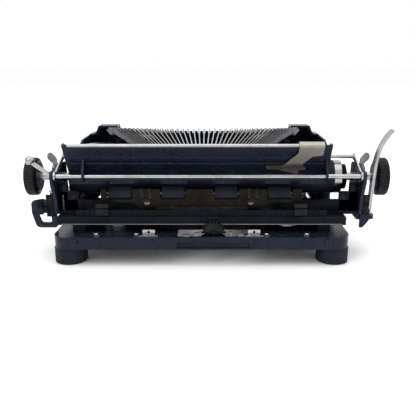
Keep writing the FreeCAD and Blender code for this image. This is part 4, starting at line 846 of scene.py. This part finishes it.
class TYPEWRITER_OT_screws(bpy.types.Operator):
    """Drive slotted screws into the roller hanger and the carriage end plates"""
    bl_idname = "typewriter.screws"
    bl_label = "Slotted screws"

    def execute(self, context):
        low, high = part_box("feed_hanger")
        middle = (low.x + high.x) / 2 + HANGER_SCREW_SHIFT
        places = [Vector((middle + side * HANGER_SCREW_SPACING, high.y, low.z + HANGER_SCREW_RISE))
                  for side in (-1, 1)]
        screws("hanger_screws", "carriage", places, (0, 1, 0), "steel")
        tie_low, tie_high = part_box("tie_rod")
        y = (tie_low.y + tie_high.y) / 2
        z = (tie_low.z + tie_high.z) / 2
        for side, name, x in ((-1, "left", tie_low.x), (1, "right", tie_high.x)):
            places = [Vector((x, y - ahead, z - drop)) for ahead, drop in END_SCREWS]
            screws(f"carriage_end_{name}_screws", "carriage", places, (side, 0, 0))
        return {"FINISHED"}


class TYPEWRITER_OT_links(bpy.types.Operator):
    """Hang link bars and their studs on the outer faces of the carriage ends"""
    bl_idname = "typewriter.links"
    bl_label = "Carriage end links"

    def execute(self, context):
        tie_low, tie_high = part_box("tie_rod")
        frame_low, frame_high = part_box("carriage_frame")
        front = frame_low.y
        foot = frame_high.z
        for side, name, x in ((-1, "left", tie_low.x), (1, "right", tie_high.x)):
            outside = x + side * LINK_THICK
            near, far = sorted((x, outside))
            bars = []
            for (low_y, low_z), (high_y, high_z) in LINK_BARS:
                bars.append(block((near, front + low_y, foot + low_z),
                                  (far, front + high_y, foot + high_z), LINK_BEVEL))
            settle(join_pieces(bars), f"end_link_{name}", "carriage", "dark_steel")
            studs = [Vector((outside, front + y, foot + z)) for y, z in LINK_STUDS]
            screws(f"end_studs_{name}", "carriage", studs, (side, 0, 0))
        return {"FINISHED"}


class TYPEWRITER_OT_linkage(bpy.types.Operator):
    """Stack dark link plates and studs on the rear faces of the two carriage end brackets"""
    bl_idname = "typewriter.linkage"
    bl_label = "Bracket linkage"

    def execute(self, context):
        tie_low, tie_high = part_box("tie_rod")
        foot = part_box("carriage_frame")[1].z
        for side, name, x in ((1, "right", tie_high.x), (-1, "left", tie_low.x)):
            plates = [self.plate(side, x, foot, *plate) for plate in BRACKET_PLATES[name]]
            settle(join_pieces(plates), f"linkage_{name}", "carriage", "paint")
            studs = [Vector((x + side * reach, BRACKET_REAR + PLATE_FACES[layer + 1], foot + rise))
                     for reach, layer, rise in BRACKET_STUDS[name]]
            screws(f"linkage_{name}_studs", "carriage", studs, (0, 1, 0), "dark_steel")
        return {"FINISHED"}

    def plate(self, side, x, foot, near, far, layer, low, high):
        left, right = sorted((x + side * near, x + side * far))
        return block((left, BRACKET_REAR + PLATE_FACES[layer], foot + low),
                     (right, BRACKET_REAR + PLATE_FACES[layer + 1], foot + high), PLATE_BEVEL)


class TYPEWRITER_OT_clips(bpy.types.Operator):
    """Bend dark clips over the roller hanger, between the paper rollers"""
    bl_idname = "typewriter.clips"
    bl_label = "Roller clips"

    def execute(self, context):
        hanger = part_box("feed_hanger")[1]
        roll_low, roll_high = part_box("feed_rollers")
        middle = (roll_low.x + roll_high.x) / 2 + CLIP_SHIFT
        clips = []
        for side in (-1, 1):
            clips += self.clip(middle + side * CLIP_SPACING, hanger.y, hanger.z)
        settle(join_pieces(clips), "roller_clips", "carriage", "dark_steel")
        return {"FINISHED"}

    def clip(self, x, face, top):
        """Two leaves with hooks over the hanger's top edge, and the web between them."""
        outside = face + CLIP_THICK
        pieces = []
        for offset in (-CLIP_LEAF_OFFSET, CLIP_LEAF_OFFSET):
            left = x + offset - CLIP_LEAF_HALF_WIDTH
            right = x + offset + CLIP_LEAF_HALF_WIDTH
            pieces.append(block((left, face, top - CLIP_LEAF_DROP), (right, outside, top + CLIP_LEAF_RISE),
                                CLIP_BEVEL))
            pieces.append(block((left, face - CLIP_HOOK_REACH, top + CLIP_HOOK_BOTTOM),
                                (right, outside, top + CLIP_HOOK_TOP), CLIP_BEVEL))
        pieces.append(block((x - CLIP_WEB_HALF_WIDTH, face, top - CLIP_WEB_DROP),
                            (x + CLIP_WEB_HALF_WIDTH, outside, top - CLIP_WEB_TOP_DROP), CLIP_BEVEL))
        return pieces


class TYPEWRITER_OT_escapement_dogs(bpy.types.Operator):
    """Set the steel escapement dogs beside the wheel and a near-black sheet of painted shade in the rear
    recess
    """
    bl_idname = "typewriter.escapement_dogs"
    bl_label = "Escapement dogs and rear shade sheet"

    def execute(self, context):
        low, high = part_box("escapement_wheel")
        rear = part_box("base_frame")[1].y
        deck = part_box("rail_posts")[0].z
        sizes = [(low.x - gap, width, height) for gap, width, height in DOGS_LEFT]
        sizes += [(high.x + gap, width, height) for gap, width, height in DOGS_RIGHT]
        front = rear - DOG_INSET
        dogs = [block((x, front, deck - DOG_SINK), (x + width, front + DOG_THICK, deck + height), DOG_BEVEL)
                for x, width, height in sizes]
        settle(join_pieces(dogs), "escapement_dogs", "frame", "steel")
        middle = (low.x + high.x) / 2
        # Thin near-black sheet below the deck's rear edge, painted shade standing in for the dark inside the
        # recess
        shade_sheet = block((middle - SHADE_SHEET_HALF_WIDTH, rear - SHADE_SHEET_FRONT_INSET, deck - SHADE_SHEET_DROP),
                    (middle + SHADE_SHEET_HALF_WIDTH, rear - SHADE_SHEET_REAR_INSET, deck - SHADE_SHEET_TOP_DROP), SHADE_SHEET_BEVEL)
        settle(shade_sheet, "rear_pad", "frame", "rubber")
        return {"FINISHED"}


class TYPEWRITER_OT_tabs(bpy.types.Operator):
    """Stand two pierced bright tabs on the rear deck"""
    bl_idname = "typewriter.tabs"
    bl_label = "Rear deck tabs"

    def execute(self, context):
        low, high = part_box("base_frame")
        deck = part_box("rail_posts")[0].z
        middle = (low.x + high.x) / 2
        tabs = []
        for side in (-1, 1):
            tabs += self.tab(middle + side * TAB_SPACING, high.y - TAB_INSET, deck)
        settle(join_pieces(tabs), "deck_tabs", "frame", "nickel")
        return {"FINISHED"}

    def tab(self, x, y, deck):
        bottom = deck - TAB_SINK
        upright = block((x - TAB_HALF_WIDTH, y, bottom),
                        (x + TAB_HALF_WIDTH, y + TAB_THICK, deck + TAB_HEIGHT), TAB_BEVEL)
        drill(upright, (x, y, deck + TAB_HOLE_RISE), TAB_HOLE_RADIUS)
        foot = block((x - TAB_FOOT_HALF_WIDTH, y - TAB_FOOT_FRONT, bottom),
                     (x + TAB_FOOT_HALF_WIDTH, y + TAB_FOOT_REAR, deck + TAB_FOOT_HEIGHT), TAB_FOOT_BEVEL)
        return [upright, foot]


class TYPEWRITER_OT_bed_trim(bpy.types.Operator):
    """Lay a worn steel edge along the rear lip of the carriage truck"""
    bl_idname = "typewriter.bed_trim"
    bl_label = "Carriage bed edge"

    def execute(self, context):
        low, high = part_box("carriage_truck")
        edge = block((low.x + EDGE_INSET, high.y - EDGE_SINK, low.z + EDGE_BOTTOM),
                     (high.x - EDGE_INSET, high.y + EDGE_PROUD, low.z + EDGE_TOP), EDGE_BEVEL)
        settle(edge, "bed_edge", "truck", "steel")
        return {"FINISHED"}


class TYPEWRITER_OT_raised_type(bpy.types.Operator):
    """Raise the small and capital type on the face of each slug"""
    bl_idname = "typewriter.raised_type"
    bl_label = "Raised type"

    def execute(self, context):
        pair = join_pieces([self.type_face(-TYPE_OFFSET), self.type_face(TYPE_OFFSET)])
        basket = Matrix.Translation(FAN_CENTRE) @ Matrix.Rotation(FAN_TILT, 4, "X")
        pairs = {}
        for step in range(-BARS_EACH_SIDE, BARS_EACH_SIDE + 1):
            angle = step * FAN_HALF_ANGLE / BARS_EACH_SIDE - math.pi / 2
            pairs[step] = own_copy(pair, basket @ Matrix.Rotation(angle, 4, "Z"))
        bpy.data.objects.remove(pair)
        middle_pair = pairs.pop(0)
        settle(join_pieces(list(pairs.values())), "raised_type", "frame", "steel")
        settle(middle_pair, "strike_type", "typebar", "steel")
        return {"FINISHED"}

    def type_face(self, offset):
        """One raised face on a slug that lies in the XZ plane, offset along the slug."""
        half = Vector(TYPE_HALF_SIZE)
        face = block(-half, half, TYPE_BEVEL)
        along = Vector((math.cos(SLUG_FACE_ANGLE), 0, math.sin(SLUG_FACE_ANGLE)))
        outward = Vector((along.z, 0, -along.x))
        place = Vector(SLUG_TIP) + outward * SLUG_DEPTH + along * offset
        face.matrix_world = Matrix.Translation(place) @ Matrix.Rotation(-SLUG_FACE_ANGLE, 4, "Y")
        activate(face)
        apply_place()
        return face


class TYPEWRITER_OT_gussets(bpy.types.Operator):
    """Brace each carriage end with a stepped dark gusset that stands on the frame plate"""
    bl_idname = "typewriter.gussets"
    bl_label = "Carriage end gussets"

    def execute(self, context):
        low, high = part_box("carriage_frame")
        for side, name, x in ((1, "left", low.x), (-1, "right", high.x)):
            pieces = [self.step(x, side * reach, high.z, height) for reach, height in GUSSET_STEPS[name]]
            settle(join_pieces(pieces), f"end_gusset_{name}", "carriage", "paint")
            bolts = [Vector((x + side * reach, GUSSET_REAR, high.z + rise)) for reach, rise in GUSSET_BOLTS]
            screws(f"end_gusset_{name}_bolts", "carriage", bolts, (0, 1, 0), "dark_steel")
        return {"FINISHED"}

    def step(self, x, reach, foot, height):
        near, far = sorted((x, x + reach))
        return block((near, GUSSET_REAR - GUSSET_THICK, foot - GUSSET_SINK),
                     (far, GUSSET_REAR, foot + height), GUSSET_BEVEL)


class TYPEWRITER_OT_springs(bpy.types.Operator):
    """Wind return springs inside the right carriage end"""
    bl_idname = "typewriter.springs"
    bl_label = "Coil springs"

    def execute(self, context):
        low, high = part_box("carriage_frame")
        x = (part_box("platen_roller")[1].x + high.x) / 2
        springs = [coil(Vector((x, y, high.z)), SPRING_LENGTH, SPRING_RADIUS, SPRING_WIRE, SPRING_TURNS)
                   for y in (high.y - SPRING_REAR_INSET, low.y + SPRING_FRONT_INSET)]
        settle(join_pieces(springs), "end_springs", "carriage", "steel")
        return {"FINISHED"}


class TYPEWRITER_OT_stage(bpy.types.Operator):
    """Set the pale floor, soft lamps, white surroundings and camera"""
    bl_idname = "typewriter.stage"
    bl_label = "Studio"

    def execute(self, context):
        scene = context.scene
        stage = scene.typewriter_stage
        self.floor(stage)
        self.surroundings(scene, stage)
        self.lamps(stage)
        self.camera(scene, stage)
        scene.view_settings.view_transform = "Standard"
        return {"FINISHED"}

    def floor(self, stage):
        deselect()
        bpy.ops.mesh.primitive_plane_add(size=FLOOR_SIZE, location=(0, 0, 0))
        floor = bpy.context.object
        floor.name = "studio_floor"
        bpy.ops.object.mode_set(mode="EDIT")
        bpy.ops.mesh.subdivide(number_cuts=3)
        bpy.ops.object.mode_set(mode="OBJECT")
        material, tree, shader, at = start_finish("pale_floor")
        colour = tuple(stage.floor)
        paint_with(tree, shader, noise(tree, at, scale=3.0, detail=2), colour, lighter(colour, 1.02))
        shader.inputs["Roughness"].default_value = 0.9
        shader.inputs["Specular IOR Level"].default_value = 0.1
        floor.data.materials.append(material)
        floor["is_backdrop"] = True

    def surroundings(self, scene, stage):
        world = bpy.data.worlds.new("white_room")
        world.use_nodes = True
        scene.world = world
        background = world.node_tree.nodes["Background"]
        background.inputs["Color"].default_value = (1, 1, 1, 1)
        background.inputs["Strength"].default_value = stage.room

    def lamps(self, stage):
        low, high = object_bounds()
        middle = (low + high) / 2
        for name, (place, size, share) in LAMPS.items():
            lamp = bpy.data.lights.new(name, "AREA")
            lamp.size = size
            lamp.energy = stage.lamp * share
            holder = bpy.data.objects.new(name, lamp)
            bpy.context.collection.objects.link(holder)
            holder.location = place
            holder.rotation_euler = (middle - holder.location).to_track_quat("-Z", "Y").to_euler()

    def camera(self, scene, stage):
        shaft_low, shaft_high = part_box("platen_shaft")
        base_low, base_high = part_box("base_frame")
        platen_y = (shaft_low.y + shaft_high.y) / 2
        middle = (base_low.x + base_high.x) / 2
        camera = bpy.data.cameras.new("photo_camera")
        camera.sensor_width = SENSOR_WIDTH
        camera.lens = stage.camera_lens
        camera.shift_x = CAMERA_SHIFT
        holder = bpy.data.objects.new("photo_camera", camera)
        bpy.context.collection.objects.link(holder)
        holder.location = (middle - stage.camera_side, platen_y + stage.camera_distance, stage.camera_height)
        holder.rotation_euler = (math.pi / 2 - stage.camera_pitch, 0, math.pi)
        scene.camera = holder


class TYPEWRITER_PT_panel(bpy.types.Panel):
    """Shows the settings, and the steps in the order in which they run"""
    bl_label = "Typewriter"
    bl_idname = "TYPEWRITER_PT_panel"
    bl_space_type = "VIEW_3D"
    bl_region_type = "UI"
    bl_category = "Typewriter"

    def draw(self, context):
        for group in (context.scene.typewriter_finish, context.scene.typewriter_stage):
            for key in group.bl_rna.properties.keys():
                if key not in ("rna_type", "name"):
                    self.layout.prop(group, key)
        for step in STEPS:
            self.layout.operator(step.bl_idname)


STEPS = (
    TYPEWRITER_OT_body,
    TYPEWRITER_OT_metal,
    TYPEWRITER_OT_rubber,
    TYPEWRITER_OT_spools,
    TYPEWRITER_OT_keys,
    TYPEWRITER_OT_screws,
    TYPEWRITER_OT_links,
    TYPEWRITER_OT_linkage,
    TYPEWRITER_OT_clips,
    TYPEWRITER_OT_escapement_dogs,
    TYPEWRITER_OT_tabs,
    TYPEWRITER_OT_bed_trim,
    TYPEWRITER_OT_raised_type,
    TYPEWRITER_OT_gussets,
    TYPEWRITER_OT_springs,
    TYPEWRITER_OT_stage,
)
CLASSES = (FinishSettings, StageSettings, *STEPS, TYPEWRITER_PT_panel)


def register():
    for kind in CLASSES:
        bpy.utils.register_class(kind)
    bpy.types.Scene.typewriter_finish = bpy.props.PointerProperty(type=FinishSettings)
    bpy.types.Scene.typewriter_stage = bpy.props.PointerProperty(type=StageSettings)


def unregister():
    del bpy.types.Scene.typewriter_stage
    del bpy.types.Scene.typewriter_finish
    for kind in reversed(CLASSES):
        bpy.utils.unregister_class(kind)


def main():
    register()
    for step in STEPS:
        group, name = step.bl_idname.split(".")
        getattr(getattr(bpy.ops, group), name)()


if __name__ == "__main__":
    main()
